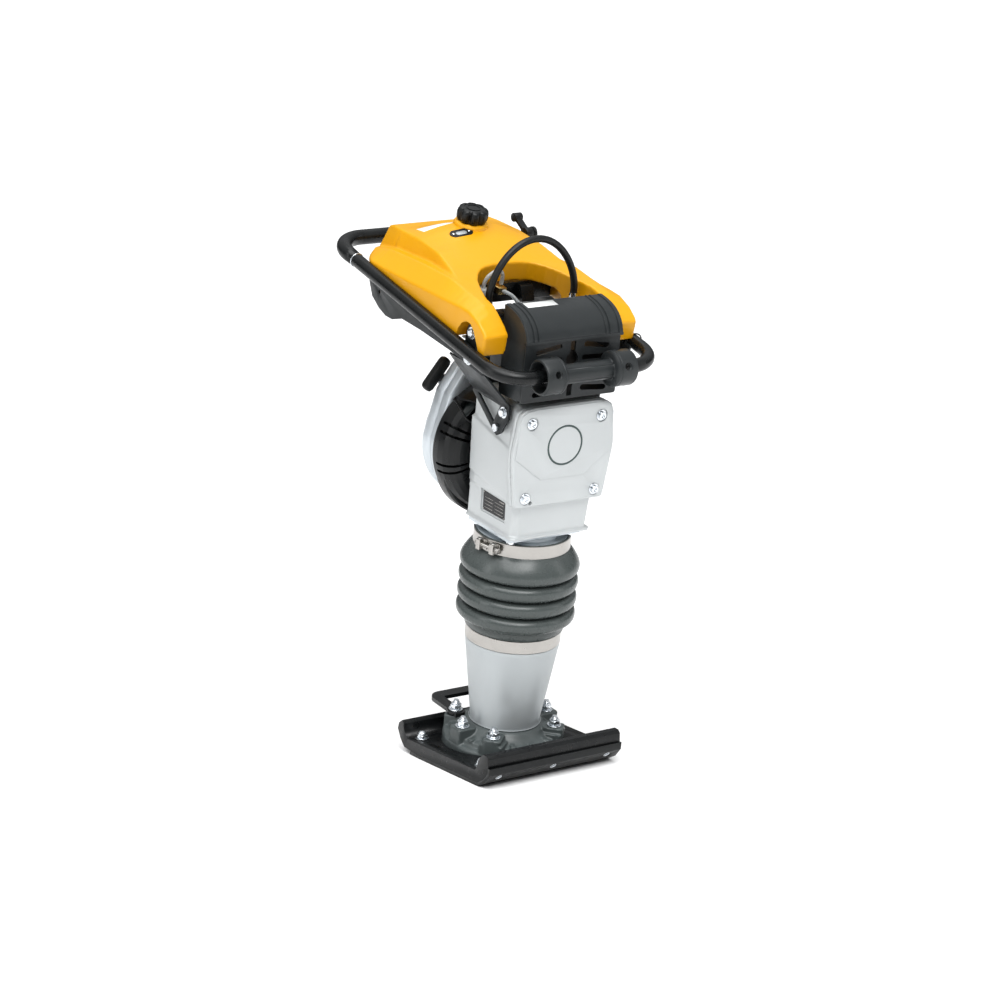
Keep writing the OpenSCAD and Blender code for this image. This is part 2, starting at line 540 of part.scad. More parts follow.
// side plate: strip under the rail, an arm leaning in, and a flat foot with a window on the crankcase
foot_x = 90;
arm_t0 = 684;
arm_t1 = 752;
arm_l = norm([plate_x - foot_x - 4, arm_t1 - arm_t0]);
arm_a = atan2(plate_x - foot_x - 4, arm_t1 - arm_t0);
tab_s = 300;
rail_p = [[121, -18], [124, 28]];
module side_plates() color([0.13, 0.14, 0.15]) mirrored() {
    rails() difference() {
        union() {
            wall_yz(plate_x - 4, plate_x) polygon([[70, -2], [76, -28], [178, -30], [272, -37], [330, -44], [359, -59],
                [380, -62], [404, -58], [430, -47], [449, -21], [452, -2], [140, -2], [140, 28], [108, 28], [108, -2]]);
            translate([0, 124, 28]) rod_x(16, plate_x - 4, plate_x, 32);
            translate([118, tab_s - 14, 8]) cube([plate_x - 118, 28, 4]);
            translate([plate_x - 4, tab_s - 14, -3]) cube([4, 28, 12]);
        }
        translate([rail_x, 40, 0]) rotate([-90, 0, 0]) cylinder(r = rail_r, h = 480, $fn = 32);
        for (p = rail_p) translate([0, p[0], p[1]]) rod_x(4.5, plate_x - 10, plate_x + 10, 24);
        translate([0, 410, -30]) rod_x(3, plate_x - 10, plate_x + 10, 24);
        translate([132, tab_s, 0]) cylinder(r = 4, h = 30, $fn = 24);
    }
    ram() difference() {
        union() {
            wall_yz(foot_x, foot_x + 4) polygon([[54, arm_t0], [54, 677], [-18, 626], [-26, 622], [-36, 628], [-56, 660],
                [-56, arm_t0]]);
            translate([foot_x, 0, arm_t0 - 1]) rotate([0, arm_a, 0]) wall_yz(0.6, 4)
                polygon([[-56, 0], [54, 0], [54, arm_l], [-38, arm_l]]);
        }
        wall_yz(80, 100) polygon([[38, 679], [-30, 676], [-14, 642]]);
        for (p = [mount_p, plate_p]) translate([0, p[0], p[1]]) rod_x(4, 80, 100, 24);
    }
}
module plate_bolts() color([0.7, 0.72, 0.74]) mirrored() {
    rails() for (p = rail_p) translate([0, p[0], p[1]]) {
        rod_x(4.5, plate_x - 7, plate_x + 3, 24);
        translate([plate_x, 0, 0]) rotate([0, 90, 0]) difference() {
            hex(14, 4);
            translate([0, 0, -1]) cylinder(r = 4.5, h = 6, $fn = 24);
        }
    }
    ram() translate([0, plate_p[0], plate_p[1]]) {
        rod_x(4, foot_x - 1.5, foot_x + 9, 24);
        translate([foot_x + 4, 0, 0]) rotate([0, 90, 0]) difference() {
            hex(13, 5);
            translate([0, 0, -1]) cylinder(r = 4, h = 8, $fn = 24);
        }
    }
}
module mount_bolts() color([0.7, 0.72, 0.74]) mirrored() ram() translate([0, mount_p[0], mount_p[1]]) {
    rod_x(3.9, 62, foot_x + 9, 24);
    translate([foot_x + 4.2, 0, 0]) rotate([0, 90, 0]) difference() {
        hex(13, 5);
        translate([0, 0, -1]) cylinder(r = 3.9, h = 8, $fn = 24);
    }
}
module rubber_mounts() color([0.05, 0.05, 0.05]) mirrored() ram() translate([0, mount_p[0], mount_p[1]]) difference() {
    rod_x(11, case_w + 2, foot_x - 0.1, 32);
    rod_x(4, case_w, foot_x + 2, 24);
}
roller_d = 62; // [58:1:66]
module front_roller() color([0.12, 0.125, 0.13]) rails() difference() {
    union() {
        rod_x(15.5, -54, 54, 48);
        mirrored() rod_x(roller_d / 2, 50, 92, 48);
    }
    rod_x(rail_r + 0.3, -100, 100, 48);
    mirrored() rod_x(25, 62, 96, 48);
    mirrored() for (a = [0:90:359]) translate([68.6, 0, 0]) rotate([a + 60, 0, 0]) cylinder(r = 5.5, h = 40, $fn = 24);
}

// ---------------------------------------------------------------- tank, in the plane of the rails
tank_n = rail_r + 0.2;
module tank_plan(g) difference() {
    polygon([[-tank_x + g, 78 + g], [-tank_x + g, 452], [-tank_x + 24 + g, 475 - g], [tank_x - 24 - g, 475 - g],
        [tank_x - g, 452], [tank_x - g, 78 + g]]);
    polygon([[-108 - g, 0], [-108 - g, 160], [-84 - g, 224], [-66 - g / 2, 255 + g / 2], [-40, 266 + g], [40, 266 + g],
        [66 + g / 2, 255 + g / 2], [84 + g, 224], [108 + g, 160], [108 + g, 0]]);
}
module skirt_side(g) polygon([[60, tank_n + g], [60, 20], [92, 56 - g], [130, 66 - g], [240, 66 - g], [335, 56 - g],
    [430, 38 - g], [480, 26 - g], [480, tank_n + g]]);
module dome_side(g) polygon([[140, tank_n + g], [140, 50], [190, 66 - g], [262, 76 - g], [372, 100 - g], [396, 98 - g],
    [450, 66 - g], [488 - g, 45 - g], [488 - g, tank_n + g]]);
module under_cut(g) wall_yz(-104 - g, 104 + g) polygon([[240, 0], [240, 42 + g], [282, 42 + g], [344, 10 + g], [344, 0]]);
module tank_body(g) difference() {
    tank_solid(g);
    under_cut(g);
}
module tank_solid(g) {
    intersection() {
        wall_yz(-tank_x, tank_x) skirt_side(g);
        linear_extrude(200) tank_plan(g);
    }
    intersection() {
        wall_yz(-128 + g, 128 - g) dome_side(g);
        linear_extrude(200) difference() {
            polygon([[-128 + g, 100], [-128 + g, 300], [-112 + g, 488], [112 - g, 488], [128 - g, 300], [128 - g, 100]]);
            polygon([[-108 - g, 0], [-108 - g, 160], [-84 - g, 224], [-66 - g / 2, 255 + g / 2], [-40, 266 + g],
                [40, 266 + g], [66 + g / 2, 255 + g / 2], [84 + g, 224], [108 + g, 160], [108 + g, 0]]);
        }
    }
}
cap_s = 386;
cap_n = 104;
gauge_s = 359;
gauge_x = -35;
module cavity() difference() {
    tank_body(4);
    mirrored() translate([128, 60, 0]) cube([40, 100, 90]);
    mirrored() translate([132, tab_s, 0]) cylinder(r = 10, h = 28, $fn = 32);
    translate([gauge_x - 26, gauge_s - 14, 76]) cube([52, 28, 40]);
}
module fuel_tank() color([0.88, 0.66, 0.02]) rails() difference() {
    union() {
        tank_body(0);
        translate([0, cap_s, 80]) cylinder(r = 25, h = cap_n - 80, $fn = 48);
    }
    cavity();
    translate([0, cap_s, 60]) cylinder(r = 20, h = 60, $fn = 48);
    mirrored() translate([0, 124, 28]) rod_x(20, plate_x - 12, tank_x + 10, 48);
    mirrored() translate([plate_x - 12, 104, 0]) cube([30, 40, 28]);
    translate([gauge_x - 21, gauge_s - 9, 88]) cube([42, 18, 40]);
    mirrored() translate([132, tab_s, 0]) cylinder(r = 4, h = 22, $fn = 24);
}
module tank_bolts() color([0.7, 0.72, 0.74]) rails() mirrored() translate([132, tab_s, 2]) {
    cylinder(r = 4, h = 20, $fn = 24);
    difference() {
        hex(13, 6);
        translate([0, 0, -1]) cylinder(r = 4, h = 8, $fn = 24);
    }
}
module fuel_cap() color([0.06, 0.06, 0.06]) rails() translate([0, cap_s, cap_n + 0.3]) {
    difference() {
        union() {
            cylinder(r = 26, h = 21, $fn = 48);
            for (a = [0:45:359]) rotate([0, 0, a]) translate([22, 0, 2]) cylinder(r = 6.4, h = 17, $fn = 24);
        }
        translate([0, 0, 21]) cylinder(r = 15, h = 4, center = true, $fn = 32);
    }
    translate([0, 0, -12]) cylinder(r = 19.6, h = 14, $fn = 48);
}
module level_gauge() color([0.08, 0.08, 0.08]) rails() translate([gauge_x, gauge_s, 88]) {
    translate([-20.9, -8.9, 0]) cube([41.8, 17.8, 10.5]);
    translate([0, 0, 10.5]) cylinder(r = 7, h = 1.5, $fn = 32);
}
lever_p = [163, 414, 54];
module throttle_bracket() color([0.08, 0.08, 0.08]) rails() difference() {
    union() {
        translate([156.5, 402, 4]) cube([5, 24, 40]);
        translate([0, lever_p[1], lever_p[2]]) rod_x(12, 156.5, 161.5, 32);
        translate([rail_x, 404, 0]) rotate([-90, 0, 0]) cylinder(r = rail_r + 3, h = 20, $fn = 48);
    }
    translate([rail_x, 400, 0]) rotate([-90, 0, 0]) cylinder(r = rail_r, h = 30, $fn = 32);
    translate([plate_x - 10, 400, -30]) cube([tank_x - plate_x + 10.5, 30, 60]);
    translate([0, lever_p[1], lever_p[2]]) rod_x(4 + run, 150, 170, 24);
}
module throttle_lever() color([0.1, 0.1, 0.1]) rails() translate([0, lever_p[1], lever_p[2]]) {
    rod_x(4, 150, 163, 24);
    rod_x(11, 140, 156.2, 32);
    rotate([-70, 0, 0]) {
        translate([142, -3, 8]) cube([12, 6, 34]);
        translate([0, 0, 42]) rod_x(8, 140, 156, 32);
    }
}
module throttle_cable() color([0.05, 0.05, 0.05]) rails() translate([175.5, 60, 0])
    rotate([-90, 0, 0]) cylinder(r = 2.4, h = 344, $fn = 16);

shoe();
wear_plate();
wear_screws();
shoe_bolts();
foot_flange();
flange_nuts();
carry_strap();
foot_tube();
lower_band();
bellows();
spring_sleeve();
sleeve_cap();
lower_spring();
upper_spring();
guide_cylinder();
upper_band();
band_latch();
flange_bolts();
crankcase();
front_cover();
cover_screws();
cover_badge();
nameplate();
bearings();
crank_gear();
connecting_rod();
ram_piston();
clutch_drum();
engine_shaft();
clutch_shoes();
fan_shroud();
engine_block();
cylinder_head();
valve_cover();
recoil_cover();
starter_pulley();
starter_grip();
muffler();
muffler_guard();
guard_hood();
breather_hose();
hose_ferrules();
fuel_lines();
fuel_filter();
fuel_tap();
air_cleaner();
handle_tube();
grip_sleeve();
side_plates();
plate_bolts();
mount_bolts();
rubber_mounts();
front_roller();
fuel_tank();
tank_bolts();
fuel_cap();
level_gauge();
throttle_lever();
throttle_bracket();
throttle_cable();
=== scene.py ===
"""Looks of the jumping jack rammer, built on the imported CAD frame.

Shapes are drawn in millimetres in one of three local frames and moved to metres:
PLAIN (the ground), RAM (x, back, up the ram) and RAILS (x, along the handle, normal to it).
"""
import json
import math

import bmesh
import bpy
from mathutils import Matrix, Vector


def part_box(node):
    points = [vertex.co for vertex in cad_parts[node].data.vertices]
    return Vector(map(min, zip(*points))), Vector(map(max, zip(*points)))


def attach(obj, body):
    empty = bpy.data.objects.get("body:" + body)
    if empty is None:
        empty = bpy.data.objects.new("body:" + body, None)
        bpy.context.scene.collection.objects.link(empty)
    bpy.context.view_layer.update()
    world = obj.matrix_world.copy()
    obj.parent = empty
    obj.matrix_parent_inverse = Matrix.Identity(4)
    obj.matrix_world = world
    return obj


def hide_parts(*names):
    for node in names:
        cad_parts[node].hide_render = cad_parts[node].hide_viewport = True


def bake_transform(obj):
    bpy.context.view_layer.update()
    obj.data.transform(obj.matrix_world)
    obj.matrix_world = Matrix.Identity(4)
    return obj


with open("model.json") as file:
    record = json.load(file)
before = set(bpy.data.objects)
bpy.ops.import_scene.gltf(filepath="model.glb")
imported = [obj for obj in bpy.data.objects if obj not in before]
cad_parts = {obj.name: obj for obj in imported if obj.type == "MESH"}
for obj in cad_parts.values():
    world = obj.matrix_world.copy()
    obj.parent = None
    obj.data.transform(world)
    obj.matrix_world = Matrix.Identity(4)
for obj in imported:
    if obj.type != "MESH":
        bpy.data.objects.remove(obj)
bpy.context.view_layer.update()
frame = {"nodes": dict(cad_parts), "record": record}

RECORD = frame["record"]
JOINTS = {j["name"]: j for j in RECORD["behaviour"]["joints"]}
MOUNTS = {m["name"]: m for m in RECORD["mounts"]}
MM = 0.001


# ---------------- frames
def basis(origin, y, z):
    """Matrix from local millimetres (x, y, z) to the row frame in metres."""
    m = Matrix.Identity(4)
    for col, axis in enumerate((Vector((1, 0, 0)), y, z)):
        for row in range(3):
            m[row][col] = axis[row] * MM
    for row in range(3):
        m[row][3] = origin[row]
    return m


GEAR_T = 622                    # height of the crank shaft up the ram
GEAR_MID_Y = 21                 # middle of the crank gear behind the ram axis
PIN_T = 551.5                   # height of the engine shaft up the ram
up = Vector(JOINTS["ram_stroke"]["axis"]).normalized()
back = Vector(JOINTS["crank_turn"]["axis"]).normalized()
ram_origin = Vector(JOINTS["crank_turn"]["pos_m"]) - (back * GEAR_MID_Y + up * GEAR_T) * MM
bar = Vector(JOINTS["roller_spin"]["pos_m"])
along = (Vector(MOUNTS["rear_grip"]["pos_m"]) - bar).normalized()
RAIL_LEN = (Vector(MOUNTS["rear_grip"]["pos_m"]) - bar).length / MM
RAM = basis(ram_origin, back, up)
RAILS = basis(bar, along, Vector((1, 0, 0)).cross(along))
PLAIN = basis(Vector((0, 0, 0)), Vector((0, 1, 0)), Vector((0, 0, 1)))


# ---------------- outlines
def fillet(points, r, steps=5, closed=True):
    """Outline with its corners rounded; r is one radius or one for each point."""
    out = []
    n = len(points)
    for i, p in enumerate(points):
        rad = r[i] if isinstance(r, (list, tuple)) else r
        if rad <= 0 or (not closed and i in (0, n - 1)):
            out.append(tuple(p))
            continue
        p = Vector(p)
        a, b = Vector(points[i - 1]) - p, Vector(points[(i + 1) % n]) - p
        half = a.angle(b) / 2
        if half > math.radians(88):
            out.append(tuple(p))
            continue
        reach = min(rad / math.tan(half), a.length * 0.48, b.length * 0.48)
        a, b = p + a.normalized() * reach, p + b.normalized() * reach
        for k in range(steps + 1):
            u = k / steps
            out.append(tuple(a * (1 - u) ** 2 + p * 2 * u * (1 - u) + b * u * u))
    return out


def around(n):
    """Angles of n even steps round a circle."""
    return [math.tau * i / n for i in range(n)]


def circle(r, n=24, cx=0.0, cy=0.0):
    return [(cx + r * math.cos(a), cy + r * math.sin(a)) for a in around(n)]


def slot(w, h, cx=0.0, cy=0.0, turn=0.0, n=6):
    """Slot outline with round ends, turned by an angle in degrees."""
    c, s = math.cos(math.radians(turn)), math.sin(math.radians(turn))
    pts = []
    for side in (1, -1):
        for k in range(n + 1):
            a = math.pi * (k / n - 0.5)
            x = side * ((w - h) / 2 + h / 2 * math.cos(a))
            y = side * h / 2 * math.sin(a)
            pts.append((cx + x * c - y * s, cy + x * s + y * c))
    return pts


def spline(points, per=8, closed=False):
    """Catmull-Rom curve through the points."""
    pts = [Vector(p) for p in points]
    n = len(pts)
    out = []
    for i in range(n if closed else n - 1):
        if closed:
            p0, p1, p2, p3 = (pts[(i + k) % n] for k in (-1, 0, 1, 2))
        else:
            p0, p1, p2, p3 = (pts[min(max(i + k, 0), n - 1)] for k in (-1, 0, 1, 2))
        for k in range(per):
            u = k / per
            out.append(0.5 * (2 * p1 + (p2 - p0) * u + (2 * p0 - 5 * p1 + 4 * p2 - p3) * u * u
                              + (3 * p1 - p0 - 3 * p2 + p3) * u ** 3))
    if not closed:
        out.append(pts[-1])
    return out


AXES = {"x": lambda a, u, v: (a, u, v), "y": lambda a, u, v: (u, a, v), "z": lambda a, u, v: (u, v, a)}


class Shape:
    """Closed forms drawn in millimetres; every method adds one and returns the shape."""

    def __init__(self):
        self.bm = bmesh.new()

    def loft(self, sections, ring=False):
        rows = [[self.bm.verts.new(p) for p in s] for s in sections]
        n = len(rows[0])
        pairs = list(zip(rows, rows[1:]))
        if ring:
            pairs.append((rows[-1], rows[0]))
        for a, b in pairs:
            for i in range(n):
                j = (i + 1) % n
                self.bm.faces.new((a[i], a[j], b[j], b[i]))
        if not ring:
            self.bm.faces.new(rows[0][::-1])
            self.bm.faces.new(rows[-1])
        return self

    def prism(self, axis, outline, a, b):
        at = AXES[axis]
        return self.loft([[at(h, *p) for p in outline] for h in (a, b)])

    def plate(self, axis, outline, a, b, holes=()):
        """Flat plate with holes through it."""
        at = AXES[axis]
        edges = []
        for loop in (outline, *holes):
            vs = [self.bm.verts.new(at(a, *p)) for p in loop]
            edges += [self.bm.edges.new((v, vs[(i + 1) % len(vs)])) for i, v in enumerate(vs)]
        made = bmesh.ops.triangle_fill(self.bm, use_beauty=True, edges=edges)
        faces = [f for f in made["geom"] if isinstance(f, bmesh.types.BMFace)]
        grown = bmesh.ops.extrude_face_region(self.bm, geom=faces, use_keep_orig=True)
        move = [v for v in grown["geom"] if isinstance(v, bmesh.types.BMVert)]
        bmesh.ops.translate(self.bm, verts=move, vec=Vector(at(b, 0, 0)) - Vector(at(a, 0, 0)))
        return self

    def turned(self, axis, profile, centre=(0.0, 0.0), n=64):
        """Profile of (radius, height) turned about an axis through centre."""
        at = AXES[axis]
        cx, cy = centre
        return self.loft([[at(h, cx + r * math.cos(a), cy + r * math.sin(a)) for r, h in profile]
                          for a in around(n)], ring=True)

    def rod(self, axis, r, a, b, centre=(0.0, 0.0), n=32, edge=0.0):
        e = min(edge, r * 0.5)
        prof = [(0, a), (r, a), (r, b), (0, b)]
        if e:
            prof = [(0, a), (r - e, a), (r, a + e), (r, b - e), (r - e, b), (0, b)]
        return self.turned(axis, prof, centre, n)

    def sweep(self, path, r, n=16, ring=False):
        """Round bar along a path; r is one radius or one for each point."""
        pts = [Vector(p) for p in path]
        m = len(pts)
        normal = None
        rows = []
        for i, p in enumerate(pts):
            a, b = (pts[i - 1], pts[(i + 1) % m]) if ring else (pts[max(i - 1, 0)], pts[min(i + 1, m - 1)])
            d = (b - a).normalized()
            if normal is None:
                normal = d.orthogonal().normalized()
                if ring:
                    flat = (pts[m // 3] - pts[0]).cross(pts[2 * m // 3] - pts[0])
                    normal = flat.normalized()
            normal = (normal - d * normal.dot(d)).normalized()
            side = d.cross(normal)
            rad = r[i] if isinstance(r, (list, tuple)) else r
            rows.append([p + (normal * math.cos(t) + side * math.sin(t)) * rad for t in around(n)])
        return self.loft(rows, ring)

    def add(self, other, place=Matrix.Identity(4)):
        """Copy of another shape, moved by a matrix."""
        mesh = bpy.data.meshes.new("part")
        other.bm.to_mesh(mesh)
        mesh.transform(place)
        if place.determinant() < 0:
            mesh.flip_normals()
        self.bm.from_mesh(mesh)
        bpy.data.meshes.remove(mesh)
        return self

    def mirrored(self):
        return self.add(self, Matrix.Scale(-1, 4, (1, 0, 0)))

    def mesh(self, name, place):
        bm = self.bm
        bmesh.ops.remove_doubles(bm, verts=bm.verts, dist=1e-3)
        bmesh.ops.dissolve_degenerate(bm, edges=bm.edges, dist=1e-3)
        bmesh.ops.recalc_face_normals(bm, faces=bm.faces)
        bm.transform(place)
        out = bpy.data.meshes.new(name)
        bm.to_mesh(out)
        bm.free()
        return out


def put(x=0.0, y=0.0, z=0.0, turn=(0.0, 0.0, 0.0)):
    """Matrix that turns by degrees about x, y, z and then moves."""
    m = Matrix.Translation((x, y, z))
    for axis, deg in zip("XYZ", turn):
        m = m @ Matrix.Rotation(math.radians(deg), 4, axis)
    return m


def track(table, s):
    """Value at s on a broken line of (s, value)."""
    for (a, va), (b, vb) in zip(table, table[1:]):
        if s <= b:
            return va + (vb - va) * (max(s, a) - a) / (b - a)
    return table[-1][1]


# ---------------- pieces
def bake(obj):
    """Applies the modifiers of an object to its mesh."""
    bpy.context.view_layer.update()
    graph = bpy.context.evaluated_depsgraph_get()
    made = bpy.data.meshes.new_from_object(obj.evaluated_get(graph))
    old, name = obj.data, obj.data.name
    obj.modifiers.clear()
    obj.data = made
    bpy.data.meshes.remove(old)
    made.name = name


def solid(name, shape, place):
    obj = bpy.data.objects.new(name, shape.mesh(name, place))
    bpy.context.scene.collection.objects.link(obj)
    return obj


def combine(obj, shape, place, how="DIFFERENCE"):
    """Cuts, adds or intersects a shape with a piece."""
    tool = solid("tool", shape, place)
    mod = obj.modifiers.new("combine", "BOOLEAN")
    mod.operation = how
    mod.object = tool
    mod.solver = "EXACT"
    mod.use_self = True
    bake(obj)
    data = tool.data
    bpy.data.objects.remove(tool)
    bpy.data.meshes.remove(data)


def cast(obj, voxel, rounds=6, factor=0.5):
    """Melts overlapping forms into one casting or moulding with soft corners."""
    mod = obj.modifiers.new("melt", "REMESH")
    mod.mode = "VOXEL"
    mod.voxel_size = voxel * MM
    mod = obj.modifiers.new("soften", "SMOOTH")
    mod.factor = factor
    mod.iterations = rounds
    bake(obj)


def bevel(obj, width, seg=3, angle=30):
    mod = obj.modifiers.new("edges", "BEVEL")
    mod.width = width * MM
    mod.segments = seg
    mod.limit_method = "ANGLE"
    mod.angle_limit = math.radians(angle)
    mod.harden_normals = True
    mod.miter_outer = "MITER_ARC"


def finish(obj, body, material, replaces=(), edge=0.0, seg=3, angle=30, sharp=None):
    """Shades a piece, gives it its material, and hangs it on its body."""
    for p in obj.data.polygons:
        p.use_smooth = True
    obj.data.materials.clear()
    obj.data.materials.append(MATERIAL[material])
    if edge:
        bevel(obj, edge, seg, angle)
    elif sharp:
        obj.data.set_sharp_from_angle(angle=math.radians(sharp))
    if body:
        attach(obj, body)
    if replaces:
        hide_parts(*replaces)
    return obj


def piece(name, shape, place, body, material, replaces=(), edge=0.0, seg=3, angle=30, sharp=None):
    return finish(solid(name, shape, place), body, material, replaces, edge, seg, angle, sharp)


def dress(node, material=None, edge=0.6, seg=2):
    """Material and rounded edges for a CAD node that keeps its shape."""
    obj = frame["nodes"][node]
    obj.data.materials.clear()
    obj.data.materials.append(MATERIAL[material or SLOT_OF[node]])
    weld = obj.modifiers.new("weld", "WELD")
    weld.merge_threshold = 1e-5
    flat = obj.modifiers.new("flat", "DECIMATE")
    flat.decimate_type = "DISSOLVE"
    flat.angle_limit = math.radians(0.5)
    for p in obj.data.polygons:
        p.use_smooth = True
    if edge:
        bevel(obj, edge, seg, 32)


# ---------------- materials
def material(name, color, rough, metal=0.0, grain=(900, 0.15), blotch=(14, 0.08), brushed=None,
             coat=0.0, rough_var=0.08, clear=0.0, shine=0.5):
    """Principled surface with colour blotches, uneven gloss and a fine grain; brushed stretches the grain."""
    mat = bpy.data.materials.new(name)
    mat.use_nodes = True
    tree = mat.node_tree
    nodes, links = tree.nodes, tree.links
    bsdf = nodes["Principled BSDF"]
    coords = nodes.new("ShaderNodeTexCoord")

    def noise(scale, detail, stretch=None):
        node = nodes.new("ShaderNodeTexNoise")
        node.inputs["Scale"].default_value = scale
        node.inputs["Detail"].default_value = detail
        if stretch:
            mapping = nodes.new("ShaderNodeMapping")
            mapping.inputs["Scale"].default_value = stretch
            links.new(coords.outputs["Object"], mapping.inputs["Vector"])
            links.new(mapping.outputs["Vector"], node.inputs["Vector"])
        else:
            links.new(coords.outputs["Object"], node.inputs["Vector"])
        return node

    spots = noise(blotch[0], 5)
    ramp = nodes.new("ShaderNodeValToRGB")
    low, high = (tuple(min(1.0, c * k) for c in color) + (1.0,) for k in (1 - blotch[1], 1 + blotch[1] * 0.6))
    ramp.color_ramp.elements[0].position = 0.32
    ramp.color_ramp.elements[1].position = 0.68
    ramp.color_ramp.elements[0].color = low
    ramp.color_ramp.elements[1].color = high
    links.new(spots.outputs["Fac"], ramp.inputs["Fac"])
    links.new(ramp.outputs["Color"], bsdf.inputs["Base Color"])

    gloss = noise(blotch[0] * 4, 4)
    span = nodes.new("ShaderNodeMapRange")
    span.inputs["From Min"].default_value = 0.3
    span.inputs["From Max"].default_value = 0.7
    span.inputs["To Min"].default_value = max(0.02, rough - rough_var)
    span.inputs["To Max"].default_value = min(1.0, rough + rough_var)
    links.new(gloss.outputs["Fac"], span.inputs["Value"])
    links.new(span.outputs["Result"], bsdf.inputs["Roughness"])

    fine = noise(grain[0], 3, brushed)
    bump = nodes.new("ShaderNodeBump")
    bump.inputs["Strength"].default_value = grain[1]
    bump.inputs["Distance"].default_value = 0.0004
    links.new(fine.outputs["Fac"], bump.inputs["Height"])
    links.new(bump.outputs["Normal"], bsdf.inputs["Normal"])

    bsdf.inputs["Metallic"].default_value = metal
    bsdf.inputs["Specular IOR Level"].default_value = shine
    if coat:
        bsdf.inputs["Coat Weight"].default_value = coat
        bsdf.inputs["Coat Roughness"].default_value = 0.12
    if clear:
        bsdf.inputs["Transmission Weight"].default_value = clear
        bsdf.inputs["IOR"].default_value = 1.45
    return mat


LOOKS = {
    "shoe_black": dict(color=(0.007, 0.0078, 0.0085), rough=0.32, grain=(420, 0.16), blotch=(20, 0.25),
                       shine=0.4),
    "wear_steel": dict(color=(0.008, 0.009, 0.0095), rough=0.38, grain=(520, 0.2), blotch=(18, 0.3),
                       shine=0.4),
    "zinc": dict(color=(0.74, 0.77, 0.80), rough=0.24, metal=1.0, grain=(700, 0.06), blotch=(60, 0.12)),
    "cast_dark": dict(color=(0.075, 0.088, 0.088), rough=0.42, grain=(380, 0.55), blotch=(26, 0.15),
                      coat=0.1),
    "black_paint": dict(color=(0.007, 0.008, 0.0085), rough=0.30, grain=(500, 0.05), blotch=(12, 0.2),
                        shine=0.42),
    "foot_alu": dict(color=(0.43, 0.455, 0.465), rough=0.42, metal=0.35, grain=(620, 0.16), blotch=(9, 0.07)),
    "stainless": dict(color=(0.43, 0.415, 0.395), rough=0.30, metal=1.0, grain=(160, 0.03),
                      blotch=(30, 0.04), brushed=(1, 1, 14), rough_var=0.03),
    "bellows_rubber": dict(color=(0.072, 0.083, 0.081), rough=0.28, grain=(1400, 0.02), blotch=(16, 0.06),
                           rough_var=0.03),
    "case_silver": dict(color=(0.50, 0.52, 0.525), rough=0.40, metal=0.25, grain=(520, 0.16),
                        blotch=(10, 0.04)),
    "engine_alu": dict(color=(0.60, 0.64, 0.67), rough=0.36, metal=0.75, grain=(420, 0.22), blotch=(14, 0.1)),
    "machined_steel": dict(color=(0.55, 0.56, 0.57), rough=0.26, metal=1.0, grain=(800, 0.06),
                           blotch=(40, 0.1)),
    "black_plastic": dict(color=(0.008, 0.009, 0.0095), rough=0.34, grain=(900, 0.1), blotch=(14, 0.2),
                          shine=0.4),
    "grey_plastic": dict(color=(0.025, 0.0285, 0.030), rough=0.40, grain=(1100, 0.16), blotch=(14, 0.1),
                         shine=0.42),
    "tank_yellow": dict(color=(0.66, 0.325, 0.001), rough=0.38, grain=(1200, 0.10), blotch=(7, 0.03)),
    "plate_grey": dict(color=(0.018, 0.021, 0.0225), rough=0.38, grain=(520, 0.12), blotch=(12, 0.15),
                       shine=0.4),
    "rubber_black": dict(color=(0.012, 0.013, 0.013), rough=0.42, grain=(700, 0.14), blotch=(14, 0.15),
                         shine=0.4),
    "brass": dict(color=(0.62, 0.47, 0.22), rough=0.3, metal=1.0, grain=(500, 0.08), blotch=(30, 0.1)),
    "clear_plastic": dict(color=(0.62, 0.66, 0.68), rough=0.22, grain=(300, 0.04), blotch=(20, 0.06),
                          clear=0.35),
    "muffler_steel": dict(color=(0.05, 0.046, 0.042), rough=0.55, metal=0.3, grain=(300, 0.3),
                          blotch=(30, 0.3)),
    "badge_grey": dict(color=(0.060, 0.085, 0.082), rough=0.35, grain=(600, 0.06), blotch=(20, 0.08)),
    "label_black": dict(color=(0.012, 0.012, 0.013), rough=0.3, grain=(600, 0.04), blotch=(20, 0.1)),
}
MATERIAL = {name: material(name, **look) for name, look in LOOKS.items()}
SLOT_OF = {s["node"]: s["material_slot"] for s in RECORD["subparts"]}

# ---------------- CAD nodes that keep their shape
EDGES = {
    "shoe": 2.6, "wear_plate": 1.2, "carry_strap": 1.8, "guide_cylinder": 1.0, "bearings": 0, "crank_gear": 0,
    "connecting_rod": 0.5, "ram_piston": 0.5, "clutch_drum": 0, "engine_shaft": 0, "clutch_shoes": 0,
    "lower_spring": 0, "upper_spring": 0, "spring_sleeve": 0.5, "sleeve_cap": 0.3, "cylinder_head": 0.8,
    "valve_cover": 2.4, "recoil_cover": 0.5, "starter_pulley": 0, "muffler": 2.0, "air_cleaner": 3.0,
    "side_plates": 0.8, "mount_bolts": 0.6, "rubber_mounts": 0.8, "tank_bolts": 0.5, "throttle_lever": 0.8,
    "throttle_bracket": 0.8, "fuel_filter": 1.0, "fuel_tap": 1.0,
}
for node, width in EDGES.items():
    dress(node, "cast_dark" if node == "engine_shaft" else None, edge=width)


